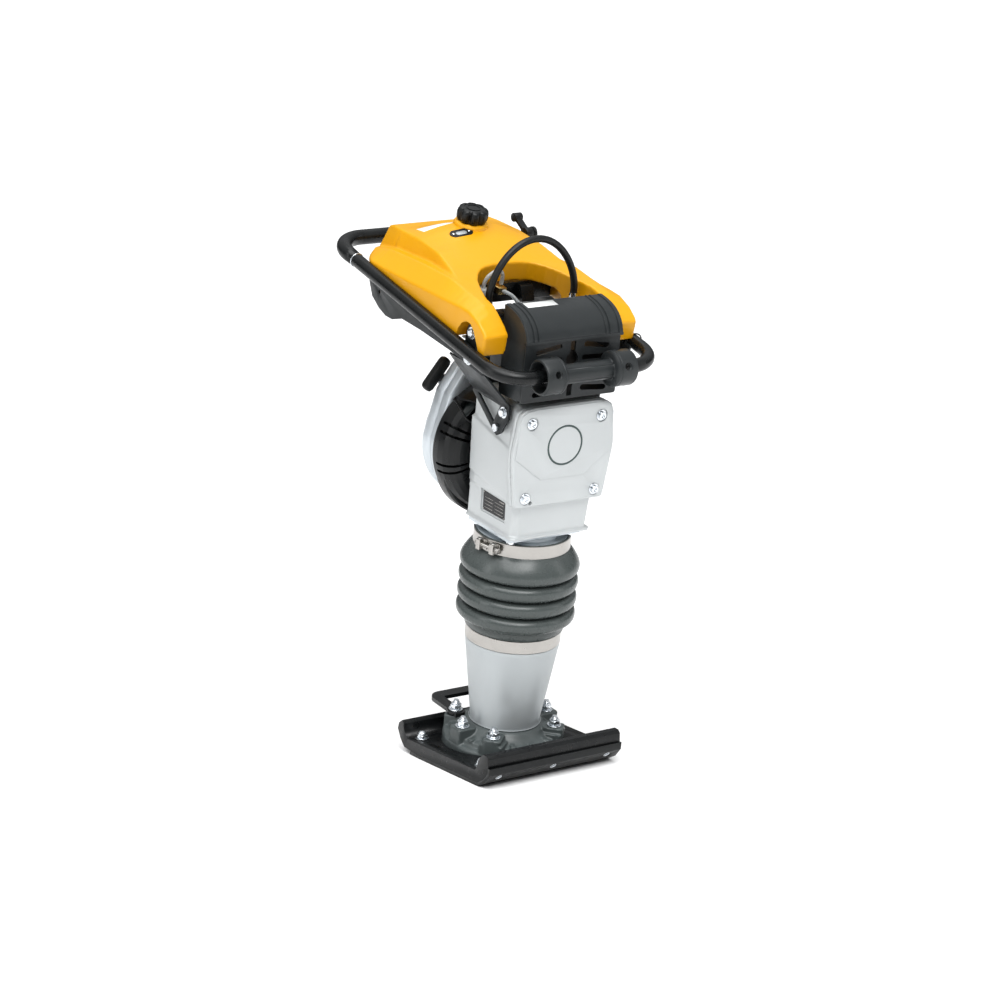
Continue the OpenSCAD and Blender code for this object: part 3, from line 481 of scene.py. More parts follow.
# ---------------- fasteners, drawn along +z from 0
def nut(af, h, bore=0.0):
    """Hexagon nut with chamfered corners."""
    rc, ri = af / math.sqrt(3), af / 2
    n = 48

    def ring(r_max, z):
        pts = []
        for i in range(n):
            a = math.tau * i / n
            flat = ri / math.cos((a % (math.pi / 3)) - math.pi / 6)
            pts.append((min(flat, r_max) * math.cos(a), min(flat, r_max) * math.sin(a), z))
        return pts

    c = (rc - ri) * 0.75
    s = Shape()
    rows = [ring(ri * 0.97, 0), ring(rc, c), ring(rc, h - c), ring(ri * 0.97, h)]
    if bore:
        low = [(bore * math.cos(math.tau * i / n), bore * math.sin(math.tau * i / n), 0) for i in range(n)]
        s.loft([low, *rows, [(x, y, h) for x, y, _ in low]], ring=True)
        return s
    return s.loft(rows)


def washer(r, h, hole=0.0):
    return Shape().turned("z", [(hole, 0), (r - 0.4, 0), (r, 0.4), (r, h - 0.4), (r - 0.4, h), (hole, h)], n=48)


def threads(r, a, b, pitch=1.6):
    """Threaded rod end as a row of ridges."""
    prof = [(0, a), (r * 0.86, a)]
    z = a
    while z + pitch < b:
        prof += [(r, z + pitch * 0.5), (r * 0.88, z + pitch)]
        z += pitch
    prof += [(r * 0.86, b), (0, b)]
    return Shape().turned("z", prof, n=32)


def hex_bolt(af, h):
    """Hexagon head on a washer."""
    s = Shape()
    s.add(washer(af * 0.78, 1.6))
    s.add(nut(af, h), put(z=1.6))
    s.rod("z", af * 0.36, h + 1.4, h + 1.9, n=32, edge=0.3)
    return s


def socket_screw(r, h, af):
    """Socket head cap screw with its hexagon socket."""
    rc = af / math.sqrt(3)
    return Shape().turned("z", [(0, 0), (r, 0), (r, h - 0.8), (r - 0.8, h), (rc + 0.7, h), (rc, h - 0.5),
                                (rc * 0.93, 2.2), (0, 2.2)], n=48)


# ---------------- foot
STUD_R = 89.5
STUDS = (0, 47, 133, 180, 223.5, 316.5)
STRAP_T = 69                    # top of the carry strap and of the front pads
FLOOR_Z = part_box("shoe_bolts")[1].z / MM - 13

bolts = Shape()
dome = Shape().turned("z", [(0, 0), (8.6, 0), (8.6, 2), (8, 4.4), (6.4, 6.6), (3.8, 7.9), (0, 8.4)], n=40)
for x, y in ((-118, -75), (118, -75), (-118, 115), (118, 115)):
    bolts.add(washer(12.5, 2), put(x, y, FLOOR_Z))
    bolts.add(nut(18, 5.4), put(x, y, FLOOR_Z + 2, (0, 0, 10 + y)))
    bolts.add(dome, put(x, y, FLOOR_Z + 6.2))
piece("dome_bolts", bolts, PLAIN, "foot", "zinc", ["shoe_bolts"], sharp=35)

bolts = Shape()
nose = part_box("wear_screws")[0] / MM
for x in (-114.8, 0, 114.8):
    bolts.add(socket_screw(7, 4.4, 6), put(x, nose.y + 8.03, nose.z + 8.09, (134.1, 0, 0)))
piece("nose_screws", bolts, PLAIN, "foot", "zinc", ["wear_screws"], sharp=35)

flange = Shape()
flange.turned("z", [(40, 8), (98, 8), (105, 11), (108, 18), (108, 38), (105, 42), (97, 44), (95, 51),
                    (84, 54), (76, 60), (70, 67), (66, 70), (58, 72), (40, 72)], n=128)
for a in STUDS:
    rear = a in (47, 133)
    top = 62 if rear else STRAP_T
    spot = put(turn=(0, 0, a))
    flange.add(Shape().prism("z", fillet([(70, -17), (107, -16), (107, 16), (70, 17)], 6), 20, top), spot)
    web = fillet([(58, -11), (STUD_R, -15), (STUD_R, 15), (58, 11)], 3)
    flange.add(Shape().prism("z", web, 30, top - 4), spot)
for a in STUDS[4:]:
    shelf = fillet([(72, -22), (105, -22), (108, 20), (76, 24)], 4)
    flange.add(Shape().prism("z", shelf, 20, STRAP_T - 9), put(turn=(0, 0, a)))
for a in (24, 156, 198, 246, 270, 294, 342):
    rib = fillet([(62, -4), (96, -4), (96, 4), (62, 4)], 1.5)
    flange.add(Shape().prism("z", rib, 30, 56), put(turn=(0, 0, a)))
flange_obj = solid("flange_casting", flange, RAM)
cast(flange_obj, 1.7, 2)
under = Shape().prism("z", [(-200, -200), (200, -200), (200, 200), (-200, 200)], -100, FLOOR_Z - 0.3)
combine(flange_obj, under, PLAIN)
bore = Shape().rod("z", 62.6, 30, 120, n=96)
for a in STUDS:
    seat = 62 if a in (47, 133) else STRAP_T
    bore.add(Shape().rod("z", 14.2, seat, 110, (STUD_R, 0), n=40), put(turn=(0, 0, a)))
combine(flange_obj, bore, RAM)
finish(flange_obj, "foot", "cast_dark", ["foot_flange"], sharp=50)

studs = Shape()
for a in STUDS:
    x, y = STUD_R * math.cos(math.radians(a)), STUD_R * math.sin(math.radians(a))
    studs.add(washer(12.8, 2.5), put(x, y, STRAP_T))
    studs.add(nut(18, 9), put(x, y, STRAP_T + 2.5, (0, 0, a * 1.7)))
    studs.turned("z", [(0, 80), (7.4, 80), (7.5, 82.2), (6.8, 83.2), (0, 83.2)], (x, y), 40)
    studs.add(threads(5.2, 82, 88), put(x, y, 0))
piece("flange_stud_nuts", studs, RAM, "foot", "zinc", ["flange_nuts"], edge=0.35, seg=2, angle=40)

TUBE = [(62, 66), (62.6, 70), (62, 76), (83, 220), (84, 226), (83.6, 228), (80, 228.4), (80, 252),
        (75, 254), (75, 226), (57, 72), (57, 66)]
piece("foot_tube_drawn", Shape().turned("z", TUBE, n=128), RAM, "foot", "foot_alu", ["foot_tube"],
      edge=0.8, seg=2, angle=25)
WELD_R, WELD_T = 63.6, 72.4
weld = Shape().sweep([(WELD_R * math.cos(a), WELD_R * math.sin(a), WELD_T + 0.35 * math.sin(i * 1.9))
                      for i, a in enumerate(around(180))], 0.9, 8, ring=True)
piece("foot_tube_weld", weld, RAM, "foot", "foot_alu", sharp=60)


def band(name, r, t0, t1, body, node):
    """Stainless clamp band with rolled edges."""
    prof = [(r - 1.2, t0), (r + 0.1, t0), (r + 0.5, t0 + 1.2), (r + 0.2, t0 + 2.6), (r + 0.2, t1 - 2.6),
            (r + 0.5, t1 - 1.2), (r + 0.1, t1), (r - 1.2, t1)]
    return piece(name, Shape().turned("z", prof, n=128), RAM, body, "stainless", [node], sharp=40)


band("lower_band_ring", 84.4, 229, 251, "foot", "lower_band")
clamp = Shape().prism("z", fillet([(-9, 84), (9, 84), (9, 94), (-9, 94)], 2.5), 232, 248)
clamp.add(socket_screw(4.5, 5, 4), put(13.5, 89, 240, (0, 90, 0)))
clamp.rod("x", 2.6, -14, 14, (89, 240), 20)
piece("lower_band_clamp", clamp, RAM, "foot", "stainless", edge=0.4, seg=2)

# bellows: cuff, folds close together, cone, cuff
FOLDS, FOLD_0, FOLD_1, FOLD_R = 4, 268, 388, 105


def fold_wall(inset):
    wall = []
    steps = FOLDS * 28
    for i in range(steps + 1):
        u = FOLDS * i / steps
        lobe = 1 - math.sqrt(max(0, 1 - abs(2 * (u % 1) - 1) ** 2.4))
        wall.append((FOLD_R - 18 * lobe - inset, FOLD_0 + (FOLD_1 - FOLD_0) * i / steps))
    return wall


outer = [(80, 228), (83.2, 228), (83.2, 251), (84.4, 252), (87.4, 253.6), (87.6, 266)] + fold_wall(0)[:102]
outer += [(103.6, 380), (100.6, 386), (96, 393), (91, 399.4), (86.4, 404.6), (83.8, 406), (83.8, 430),
          (80.5, 430)]
inner = [(80.5, 402), (84, 394)] + [(r, t) for r, t in fold_wall(3.6)[::-1] if 272 < t < 377]
inner += [(84, 262), (80, 254)]
bellows = piece("bellows_boot", Shape().turned("z", outer + inner, n=144), RAM, None, "bellows_rubber",
                ["bellows"])
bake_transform(bellows)

band("upper_band_ring", 85.0, 406, 429, "upper", "upper_band")
LATCH_A, LATCH_T = 193, 417.5
latch = Shape()
latch_m = put(turn=(0, 0, LATCH_A)) @ put(z=LATCH_T)
for s in (-1, 1):
    loop = fillet([(85.2, 4 * s), (85.2, 26 * s), (86.6, 26 * s), (86.6, 21 * s), (97, 20 * s),
                   (97.4, 11 * s), (86.6, 10 * s), (86.6, 4 * s)], 1.6)
    latch.add(Shape().prism("z", loop, -9, 9), latch_m)
    latch.add(Shape().rod("z", 4.2, -10.5, 10.5, (91.6, 15.6 * s), 28, edge=0.8), latch_m)
latch.add(threads(2.9, -22, 30, 1.3), latch_m @ put(91.6, 0, 0, (-90, 0, 0)))
latch.add(nut(10, 8), latch_m @ put(91.6, 21, 0, (-90, 0, 0)))
latch.add(Shape().rod("z", 4.6, 0, 4, n=28, edge=0.8), latch_m @ put(91.6, -24, 0, (-90, 0, 0)))
piece("band_latch_parts", latch, RAM, "upper", "stainless", ["band_latch"], edge=0.35, seg=2, angle=40)

# ---------------- crankcase
COVER = [(-88, 511), (88, 511), (92, 516), (103, 595), (104, 613), (96, 672), (93, 680), (84, 686),
         (64, 689), (-64, 689), (-84, 686), (-93, 680), (-96, 672), (-104, 613), (-103, 595), (-92, 516)]
BODY = [(-78, 505), (78, 505), (84, 514), (84, 595), (84, 613), (84, 668), (83, 678), (77, 687),
        (62, 691), (-62, 691), (-77, 687), (-83, 678), (-84, 668), (-84, 613), (-84, 595), (-84, 514)]


def between(a, b, u):
    return [(p[0] * (1 - u) + q[0] * u, p[1] * (1 - u) + q[1] * u) for p, q in zip(a, b)]


def at_y(outline, y):
    return [(x, y, t) for x, t in outline]


case = Shape()
case.loft([at_y(COVER, -84.6), at_y(COVER, -78), at_y(between(COVER, BODY, 0.75), -66), at_y(BODY, -52),
           at_y(BODY, 42), at_y([(x * 0.97, min(t, 676)) for x, t in BODY], 60)])
neck = [(-70, -80), (70, -80), (79, -70), (79, 60), (-79, 60), (-79, -70)]
neck_top = [(-72, -85), (72, -85), (80, -76), (80, 60), (-80, 60), (-80, -76)]
foot = [(x * 0.96, y * 0.97) for x, y in neck]
case.loft([[(*p, t) for p in outline] for outline, t in (
    (foot, 447), (neck, 450), (neck, 456), (neck_top, 512), (neck_top, 540))])
lip = [(-77, -84), (77, -84), (83, -76), (83, 60), (-83, 60), (-83, -76)]
case.loft([[(*p, 446.6) for p in lip], [(*p, 452) for p in lip]])
band_out = [(-80, 601), (-88, 512), (56, 534), (62, 631)]
for s in (-1, 1):
    case.loft([[(s * (x), y, t) for y, t in band_out] for x in (80, 86.4)])
case.rod("y", 76, 52, 68, (0, PIN_T), 96)
for s in (-1, 1):
    case.rod("x", 11.5, 78 * s, 86 * s, (-26, 636), 40)
case_obj = solid("crankcase_casting", case, RAM)
cast(case_obj, 1.9, 4)
cuts = Shape()
cuts.rod("z", 30, 430, 470, n=64)
plate_yt = [(-54, 470), (20, 468), (22, 510), (-52, 508)]
cuts.prism("x", fillet(plate_yt, 2.5), -77, -96)
cuts.rod("y", 64, 60, 80, (0, PIN_T), 64)
combine(case_obj, cuts, RAM)
finish(case_obj, "upper", "case_silver", ["crankcase"], sharp=45)

COVER_RADII = [6, 6, 6, 20, 14, 8, 8, 8, 12, 12, 8, 8, 8, 14, 20, 6]
cover = solid("front_cover_casting", Shape().prism("y", fillet(COVER, COVER_RADII, 4), -95, -85), RAM)
bevel(cover, 3.2, 4, 40)
bake(cover)
PAD = [(-44, 560), (44, 559), (99.4, 601), (95.5, 668), (91, 678), (83, 683.4), (62, 686.4),
       (-62, 686.4), (-83, 683.4), (-91, 678), (-95.5, 668), (-99.4, 602)]
combine(cover, Shape().prism("y", fillet(PAD, [2, 2] + [5] * 10, 3), -96.8, -91), RAM, "UNION")
COVER_BOLTS = [(-71.5, 528.3), (71.5, 528.3), (-71.5, 661.9), (71.5, 661.9)]
cuts = Shape()
for x, t in COVER_BOLTS:
    cuts.turned("y", [(0, -100), (12.6, -100), (11.4, -94.2), (0, -94.2)], (x, t), 40)
cuts.rod("y", 3.6, -100, -88, (-60, 519), 24)
cuts.rod("y", 36.2, -100, -96.2, (0, 617), 96)
combine(cover, cuts, RAM)
finish(cover, "upper", "case_silver", ["front_cover"], edge=0.5, seg=2, angle=22)

screws = Shape()
for i, (x, t) in enumerate(COVER_BOLTS):
    screws.add(washer(9.8, 1.6), put(x, -94.2, t, (90, 0, 0)))
    screws.add(socket_screw(7, 5, 6), put(x, -95.8, t, (90, 0, 20 * i)))
piece("cover_socket_screws", screws, RAM, "upper", "zinc", ["cover_screws"], edge=0.3, seg=2, angle=40)

BADGE = (0, 617)
disc = Shape().turned("y", [(0, -96.9), (32.4, -96.9), (32.8, -96.4), (32.8, -96), (0, -96)], BADGE, 96)
piece("badge_disc", disc, RAM, "upper", "case_silver", ["cover_badge"], sharp=40)
ring = Shape().turned("y", [(32.9, -97), (35.6, -97), (35.9, -96.6), (35.9, -96), (32.9, -96)], BADGE, 128)
piece("badge_ring", ring, RAM, "upper", "badge_grey", ["cover_badge"], sharp=40)

plate = Shape().prism("x", fillet([(-50, 473.6), (16, 471.8), (18, 506), (-48, 504.4)], 2), -77.6, -76.6)
piece("rating_plate_blank", plate, RAM, "upper", "label_black", ["nameplate"], edge=0.25, seg=2)
fields = Shape()
for k in range(4):
    for y0, y1 in ((-44, -18), (-12, 12)):
        t = 478 + 6 * k
        line = fillet([(y0, t), (y1, t - 0.4), (y1, t + 0.4), (y0, t + 0.8)], 0.2)
        fields.prism("x", line, -77.75, -77.5)
block_field = fillet([(-44, 500.6), (-30, 500.8), (-30, 502.8), (-44, 502.6)], 0.4)
fields.prism("x", block_field, -77.75, -77.5)
for y, t in ((-47, 475.6), (14, 474), (15.6, 503.6), (-45.4, 502.4)):
    fields.rod("x", 1.1, -77.5, -78.1, (y, t), 16)
piece("rating_plate_fields", fields, RAM, "upper", "stainless")

FLANGE_SPOTS = [(x, y) for x in (-62, 62) for y in (-52, 48)]
bolts = Shape()
for x, y in FLANGE_SPOTS:
    bolts.add(washer(9, 1.8), put(x, y, 437, (180, 0, 0)))
    bolts.add(nut(13, 5.2), put(x, y, 435.4, (180, 0, 15)))
piece("flange_hex_bolts", bolts, RAM, "upper", "zinc", ["flange_bolts"], edge=0.3, seg=2, angle=40)

# ---------------- engine
DOME_R = [(76, 71), (84, 70), (96, 71.5), (106, 76), (113, 83), (118, 93), (120, 106), (120, 120)]
prof = DOME_R + [(118.4, 122), (118.4, 124), (114, 124), (114, 106), (110, 92), (100, 81), (90, 76),
                 (76, 76)]
shroud = solid("fan_shroud_moulding", Shape().turned("y", fillet(prof, 2, 3), (0, PIN_T), 144), RAM)
chin = [(98, 96), (106, 92), (110, 94), (113, 99), (113, 122), (111, 124), (98, 124)]
combine(shroud, Shape().turned("y", fillet(chin, 1.5, 3), (0, PIN_T - 16), 144), RAM, "UNION")
PORT_X, PORT_Z = 72, 75         # cooling port in each upper corner of the shroud
cuts = Shape()
for a in (252, 259, 287, 295, 69, 76, 83, 97, 104, 111):
    m = put(0, 0, PIN_T) @ Matrix.Rotation(math.radians(a), 4, "Y")
    cuts.add(Shape().prism("z", slot(42, 4.6, 0, 90, 90), 80, 130), m)
for s in (-1, 1):
    cuts.rod("y", 15.5, 60, 100, (s * PORT_X, PIN_T + PORT_Z), 48)
combine(shroud, cuts, RAM)
finish(shroud, "upper", "black_plastic", ["fan_shroud"], edge=0.7, seg=2, angle=35)

rims = Shape()
for s in (-1, 1):
    ring = []
    for a in around(48):
        x, z = PORT_X + 16.6 * math.cos(a), PORT_Z + 16.6 * math.sin(a)
        ring.append((s * x, track(DOME_R, math.hypot(x, z)), PIN_T + z))
    rims.sweep(ring, 1.9, 10, ring=True)
piece("shroud_port_rims", rims, RAM, "upper", "black_plastic")


def drop(g):
    """Outline of the engine casting, round below and flat at the top, drawn in by g."""
    r = 113 - g
    arc = [(r * math.cos(a), r * math.sin(a)) for a in (math.radians(174 + 192 * i / 56) for i in range(57))]
    return fillet(arc + [(92 - g, 72), (44 - g, 142 - g), (-60 + g, 142 - g), (-92 + g, 92)],
                  [0] * len(arc) + [20, 14, 14, 20], 6)


def drop_at(g, y):
    return [(x, y, PIN_T + z) for x, z in drop(g)]


block = Shape().loft([drop_at(g, y) for g, y in (
    (5, 123), (1, 125), (0, 129), (0, 140), (2, 143), (2, 146), (0, 149), (0, 164), (2, 169), (7, 172.4))])
block.rod("y", 9, 126, 168, (0, PIN_T - 110), 32, edge=2)
block_obj = solid("engine_casting", block, RAM)
finish(block_obj, "upper", "engine_alu", ["engine_block"], edge=1.2, seg=2, angle=40)

rope_m = put(0, 0, PIN_T) @ put(24, 188, 32) @ Matrix.Rotation(math.radians(-53.13), 4, "Y")
grip = Shape()
handle_bar = fillet([(-34, -9), (34, -9), (34, 9), (-34, 9)], 8, 6)
grip.add(Shape().loft([[(x * k, y * k * 0.9, z) for x, y in handle_bar] for z, k in (
    (122, 0.86), (124, 0.97), (129, 1.0), (135, 0.99), (138.6, 0.93), (139.6, 0.82))]), rope_m)
grip.add(Shape().turned("z", [(0, 112.6), (6, 112.6), (7, 114), (8.4, 124), (0, 124)], n=32), rope_m)
piece("pull_grip", grip, RAM, "grip", "rubber_black", ["starter_grip"], edge=0.6, seg=2, angle=50)
rope = Shape().sweep([rope_m @ Vector((0, 0, 86 + 0.8 * i)) for i in range(40)], 2.4, 12)
rope_obj = piece("starter_rope", rope, RAM, None, "rubber_black")
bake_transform(rope_obj)

# ---------------- muffler guard and hood
GUARD_X, GUARD_Y, GUARD_T, GUARD_H = 97, -92, 699, 104


def guard_slots():
    holes = []
    for s in (-1, 1):
        for t, w, a in ((90, 54, 9), (69, 58, 2), (37, 58, 2), (15, 54, 5)):
            holes.append([(s * 49 + x, t + z) for x, z in slot(w, 9.5, 0, 0, -s * a, 4)])
    keyhole = fillet([(-5, -22), (5, -22), (5, -4), (12, 6), (12, 14), (7, 19), (-7, 19), (-12, 14),
                      (-12, 6), (-5, -4)], 2, 3)
    for t, flip in ((27, 1), (79, -1)):
        holes.append([(x, t + flip * z) for x, z in keyhole])
    return holes


guard = Shape()
front = [(-GUARD_X, 0), (GUARD_X, 0), (GUARD_X, GUARD_H), (-GUARD_X, GUARD_H)]
lift = Matrix.Translation((0, GUARD_Y, GUARD_T))
guard.add(Shape().plate("y", fillet(front, 5), 0, 4, guard_slots()), lift)
side = fillet([(3, 0), (67, 0), (67, GUARD_H), (3, GUARD_H)], 4)
hole = circle(8, 32, 34, 40)
for s in (-1, 1):
    guard.add(Shape().plate("x", side, s * GUARD_X, s * (GUARD_X - 3), [hole]), lift)
guard_floor = fillet([(-GUARD_X, 1), (GUARD_X, 1), (GUARD_X, 67), (-GUARD_X, 67)], 4)
guard.add(Shape().prism("z", guard_floor, 0, 3), lift)
for s in (-1, 1):
    guard.add(Shape().prism("x", [(3.6, 52), (9, 52), (9, 55), (3.6, 55)], s * 20, s * 88), lift)
piece("guard_grille", guard, RAM, "upper", "grey_plastic", ["muffler_guard"], edge=1.0, seg=2, angle=40)

HOOD_T = GUARD_T + GUARD_H
HOOD_Y = GUARD_Y - 3
curve = [(p.x, p.y)
         for p in spline([(0, 0.4), (0.4, 7), (6, 20), (16, 32), (30, 41), (48, 47), (70, 50.4)], 6)]


def hood_section(out):
    """Thin wall along the curve, its outside standing proud by out."""
    inner = [(y + 2.8, max(t - 2.4, 0)) for y, t in curve[::-1]]
    wall = [(HOOD_Y + y - out, HOOD_T + t + out) for y, t in curve]
    wall += [(HOOD_Y + y, HOOD_T + t) for y, t in inner[:-1]]
    return wall + [(HOOD_Y + 3, HOOD_T + 0.4)]


stations = [(-99, 0)]
for x0, x1 in ((-97, -88.6), (-84, -80), (-75, -71.4), (63, 66), (71, 74), (90, 97)):
    stations += [(x0 - 0.5, 0), (x0 + 0.5, 1.5), (x1 - 0.5, 1.5), (x1 + 0.5, 0)]
stations.append((99, 0))
hood = Shape().loft([[(x, y, t) for y, t in hood_section(out)] for x, out in stations])
ends = [(HOOD_Y + y + 1.4, HOOD_T + t - 1.2) for y, t in curve]
ends += [(HOOD_Y + 70, HOOD_T + 0.6), (GUARD_Y, HOOD_T + 0.6)]
for s in (-1, 1):
    hood.prism("x", ends, s * 95, s * 98.6)
lip = fillet([(-99.4, HOOD_T - 0.5), (99.4, HOOD_T - 0.5), (99.4, HOOD_T + 4), (-99.4, HOOD_T + 4)], 1)
hood.prism("y", lip, GUARD_Y - 4.4, GUARD_Y - 1)
hood_obj = solid("guard_hood_shell", hood, RAM)
finish(hood_obj, "upper", "grey_plastic", ["guard_hood"], edge=0.7, seg=2, angle=32)

LABEL_WHITE = material("label_white", (0.82, 0.84, 0.83), 0.35, grain=(900, 0.03), blotch=(20, 0.02))


def blank_label(name, shape, place, body):
    """White label with nothing on it."""
    obj = piece(name, shape, place, body, "label_black")
    obj.data.materials.clear()
    obj.data.materials.append(LABEL_WHITE)


LABEL_EDGE = ((49, 47.3), (66, 50.0), (66, 49), (49, 46))
blank_label("hood_label_blank", Shape().loft([[(x, HOOD_Y + y, HOOD_T + t + 0.25) for y, t in LABEL_EDGE]
                                              for x in (-67, -6)]), RAM, "upper")

# ---------------- hoses and fuel parts
HOSE_Y, HOSE_T, HOSE_X = 40, 840, 88
arch = [(-HOSE_X, HOSE_Y, HOSE_T - 6), (-HOSE_X, HOSE_Y, HOSE_T + 1)]
for u in (math.pi * i / 28 for i in range(29)):
    arch.append((-HOSE_X * math.cos(u), HOSE_Y, HOSE_T + 6 + 94 * math.sin(u) ** 1.2))
arch += [(HOSE_X, HOSE_Y, HOSE_T + 1), (HOSE_X, HOSE_Y, HOSE_T - 6)]


arch = spline([Vector(p) for p in arch], 5)
HOSE_R = 6.2
hose = piece("breather_hose_rubber", Shape().sweep(arch, HOSE_R, 24), RAM, "upper", "rubber_black",
             ["breather_hose"])
STUB = [(0, 771), (6.4, 771), (6.6, 774), (5.0, 776), (5.0, 811), (7, 811), (7.4, 812), (7.4, 815),
        (6.8, 815.8), (6.8, 817.6), (7.4, 818.4), (7.4, 823), (6.8, 823.8), (6.8, 825.6), (7.4, 826.4),
        (7.4, 834), (7, 838), (0, 838)]
ferrules = Shape()
for s in (-1, 1):
    ferrules.turned("z", STUB, (s * HOSE_X, HOSE_Y), 40)
piece("ferrule_sleeves", ferrules, RAM, "upper", "zinc", ["hose_ferrules"], sharp=50)

FUEL_R = 3.5
LINE_PATHS = (
    [(-50, 250, 46), (-50, 249, 54), (-46, 246, 66), (-36, 242, 76), (-24, 244, 74), (-15, 249, 62),
     (-14, 250, 46)],
    [(-16, 246, 38), (2, 236, 30), (20, 232, 14), (44, 240, 4), (62, 256, -4)],
    [(-50, 246, 20), (-62, 236, 8), (-76, 222, 4), (-84, 204, 12)],
)
for i, path in enumerate(LINE_PATHS):
    path = spline([Vector(p) for p in path], 8)
    line = piece("fuel_line_%d" % (i + 1), Shape().sweep(path, FUEL_R, 16), RAILS, "handle", "clear_plastic",
                 ["fuel_lines"])

# ---------------- handle
TUBE_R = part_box("handle_tube")[1].x / MM - 161
RAIL_X, BEND_R = 161, 58


def corner(cx, cy, a0, r=BEND_R, n=14):
    angles = [a0 + math.pi / 2 * i / n for i in range(n + 1)]
    return [Vector((cx + r * math.cos(a), cy + r * math.sin(a), 0)) for a in angles]


loop = corner(RAIL_X - BEND_R, BEND_R, -math.pi / 2) + corner(RAIL_X - BEND_R, RAIL_LEN - BEND_R, 0) + \
    corner(-RAIL_X + BEND_R, RAIL_LEN - BEND_R, math.pi / 2) + corner(-RAIL_X + BEND_R, BEND_R, math.pi)
piece("handle_tube_bent", Shape().sweep(loop, TUBE_R, 40, ring=True), RAILS, "handle", "black_paint",
      ["handle_tube"])

rear = corner(RAIL_X - BEND_R, RAIL_LEN - BEND_R, 0) + corner(-RAIL_X + BEND_R, RAIL_LEN - BEND_R, math.pi / 2)
SLEEVE_LAP = 28                 # how far the rubber sleeve reaches along each rail
lap = Vector((0, SLEEVE_LAP, 0))
rear = [rear[0] - lap] + rear + [rear[-1] - lap]
radii = [TUBE_R + 0.3] + [TUBE_R + 1.6] * (len(rear) - 2) + [TUBE_R + 0.3]
piece("grip_sleeve_rubber", Shape().sweep(rear, radii, 40), RAILS, "handle", "black_paint", ["grip_sleeve"])
seams = Shape()
for s in (-1, 1):
    ring = [(s * RAIL_X + (TUBE_R + 0.4) * math.cos(a), RAIL_LEN - BEND_R - SLEEVE_LAP,
             (TUBE_R + 0.4) * math.sin(a)) for a in around(40)]
    seams.sweep(ring, 0.9, 8, ring=True)
piece("grip_seam_rings", seams, RAILS, "handle", "zinc")

PLATE_X = 150
welds = Shape()
for s in (-1, 1):
    for s0, s1 in ((86, 106), (142, 176), (236, 262), (330, 352), (424, 446)):
        n = 40
        bead = [(s * (PLATE_X + 0.6), s0 + (s1 - s0) * i / n, -8.6 + 0.3 * math.sin(i * 1.7))
                for i in range(n + 1)]
        width = [0.9 + 1.5 * math.sin(math.pi * i / n) ** 0.5 + 0.16 * math.sin(i * 2.1) for i in range(n + 1)]
        welds.sweep(bead, width, 8)
piece("handle_welds", welds, RAILS, "handle", "black_paint")

bolts = Shape()
for s, n in ((121, -18), (124, 28)):
    bolts.add(hex_bolt(14, 4.4), put(PLATE_X, s, n, (0, 90, 0)) @ put(turn=(0, 0, 17)))
    bolts.rod("x", 4.5, PLATE_X - 7, PLATE_X + 1, (s, n), 24)
    bolts.add(nut(13, 4.5), put(PLATE_X - 4, s, n, (0, -90, 0)))
piece("rail_plate_bolts", bolts.mirrored(), RAILS, "handle", "zinc", ["plate_bolts"], edge=0.3, seg=2,
      angle=40)
ARM_BOLT = (-42, 668)           # back and height of the bolt through each arm of the side plates
bolts = Shape().add(hex_bolt(13, 5.4), put(94, *ARM_BOLT, (0, 90, 0)))
bolts.rod("x", 4, 88.5, 96, ARM_BOLT, 24)
piece("foot_plate_bolts", bolts.mirrored(), RAM, "handle", "zinc", ["plate_bolts"], edge=0.3, seg=2,
      angle=40)

roller = solid("guard_roller", Shape().turned("x", [
    (TUBE_R + 0.3, -54), (17, -54), (17, 54), (TUBE_R + 0.3, 54)], n=96), RAILS)
drum = [(16, 50), (22, 50), (26, 51.4), (29.4, 52.4), (31, 54.4), (31, 57), (30.4, 57.8), (30.4, 59),
        (31, 59.8), (31, 88.4), (29.6, 91.4), (26.6, 92), (25.6, 90.4), (25, 68), (16, 66), (16, 60)]
for s in (-1, 1):
    combine(roller, Shape().turned("x", [(r, s * x) for r, x in drum], n=96), RAILS, "UNION")
cuts = Shape()
for s in (-1, 1):
    for a in range(0, 360, 90):
        hole = [(0, 12), (5.6, 12), (5.6, 28), (7, 29.4), (7, 34), (0, 34)]
        cuts.add(Shape().turned("z", hole, (s * 71, 0), 32), put(turn=(a + 60, 0, 0)))
combine(roller, cuts, RAILS)
finish(roller, "roller", "grey_plastic", ["front_roller"], edge=0.5, seg=2, angle=35)

# ---------------- tank: skirt and dome lofted along the handle
TANK_LOW, RIM_LOW, NOTCH_S = TUBE_R + 0.3, TUBE_R - 5, 266


NOTCH = [(78, 110), (160, 108), (192, 97), (224, 84), (244, 70), (256, 57), (262, 44), (265, 26),
         (NOTCH_S, 0)]
OUTER = [(78, 156), (444, 156), (460, 149), (472, 140), (481, 129), (486, 118)]
WALL = [(78, 40), (84, 46), (104, 56), (134, 62), (160, 60), (224, 48), (317, 33), (400, 20), (440, 15),
        (486, 12)]
SKIRT = [(78, 42), (92, 52), (112, 62), (131, 71), (160, 73), (241, 73), (335, 59), (429, 41), (464, 28),
         (486, 20)]
LIFT = [(78, TANK_LOW), (196, TANK_LOW), (222, 40), (286, 44), (346, TANK_LOW), (486, TANK_LOW - 4)]
CREST_X = [(150, 128), (193, 128), (250, 116), (317, 107), (381, 105), (450, 104), (490, 98)]
CREST = [(150, 64), (193, 72), (250, 74.5), (317, 82), (381, 79), (450, 69), (470, 66), (480, 62), (486, 58),
         (490, 50)]
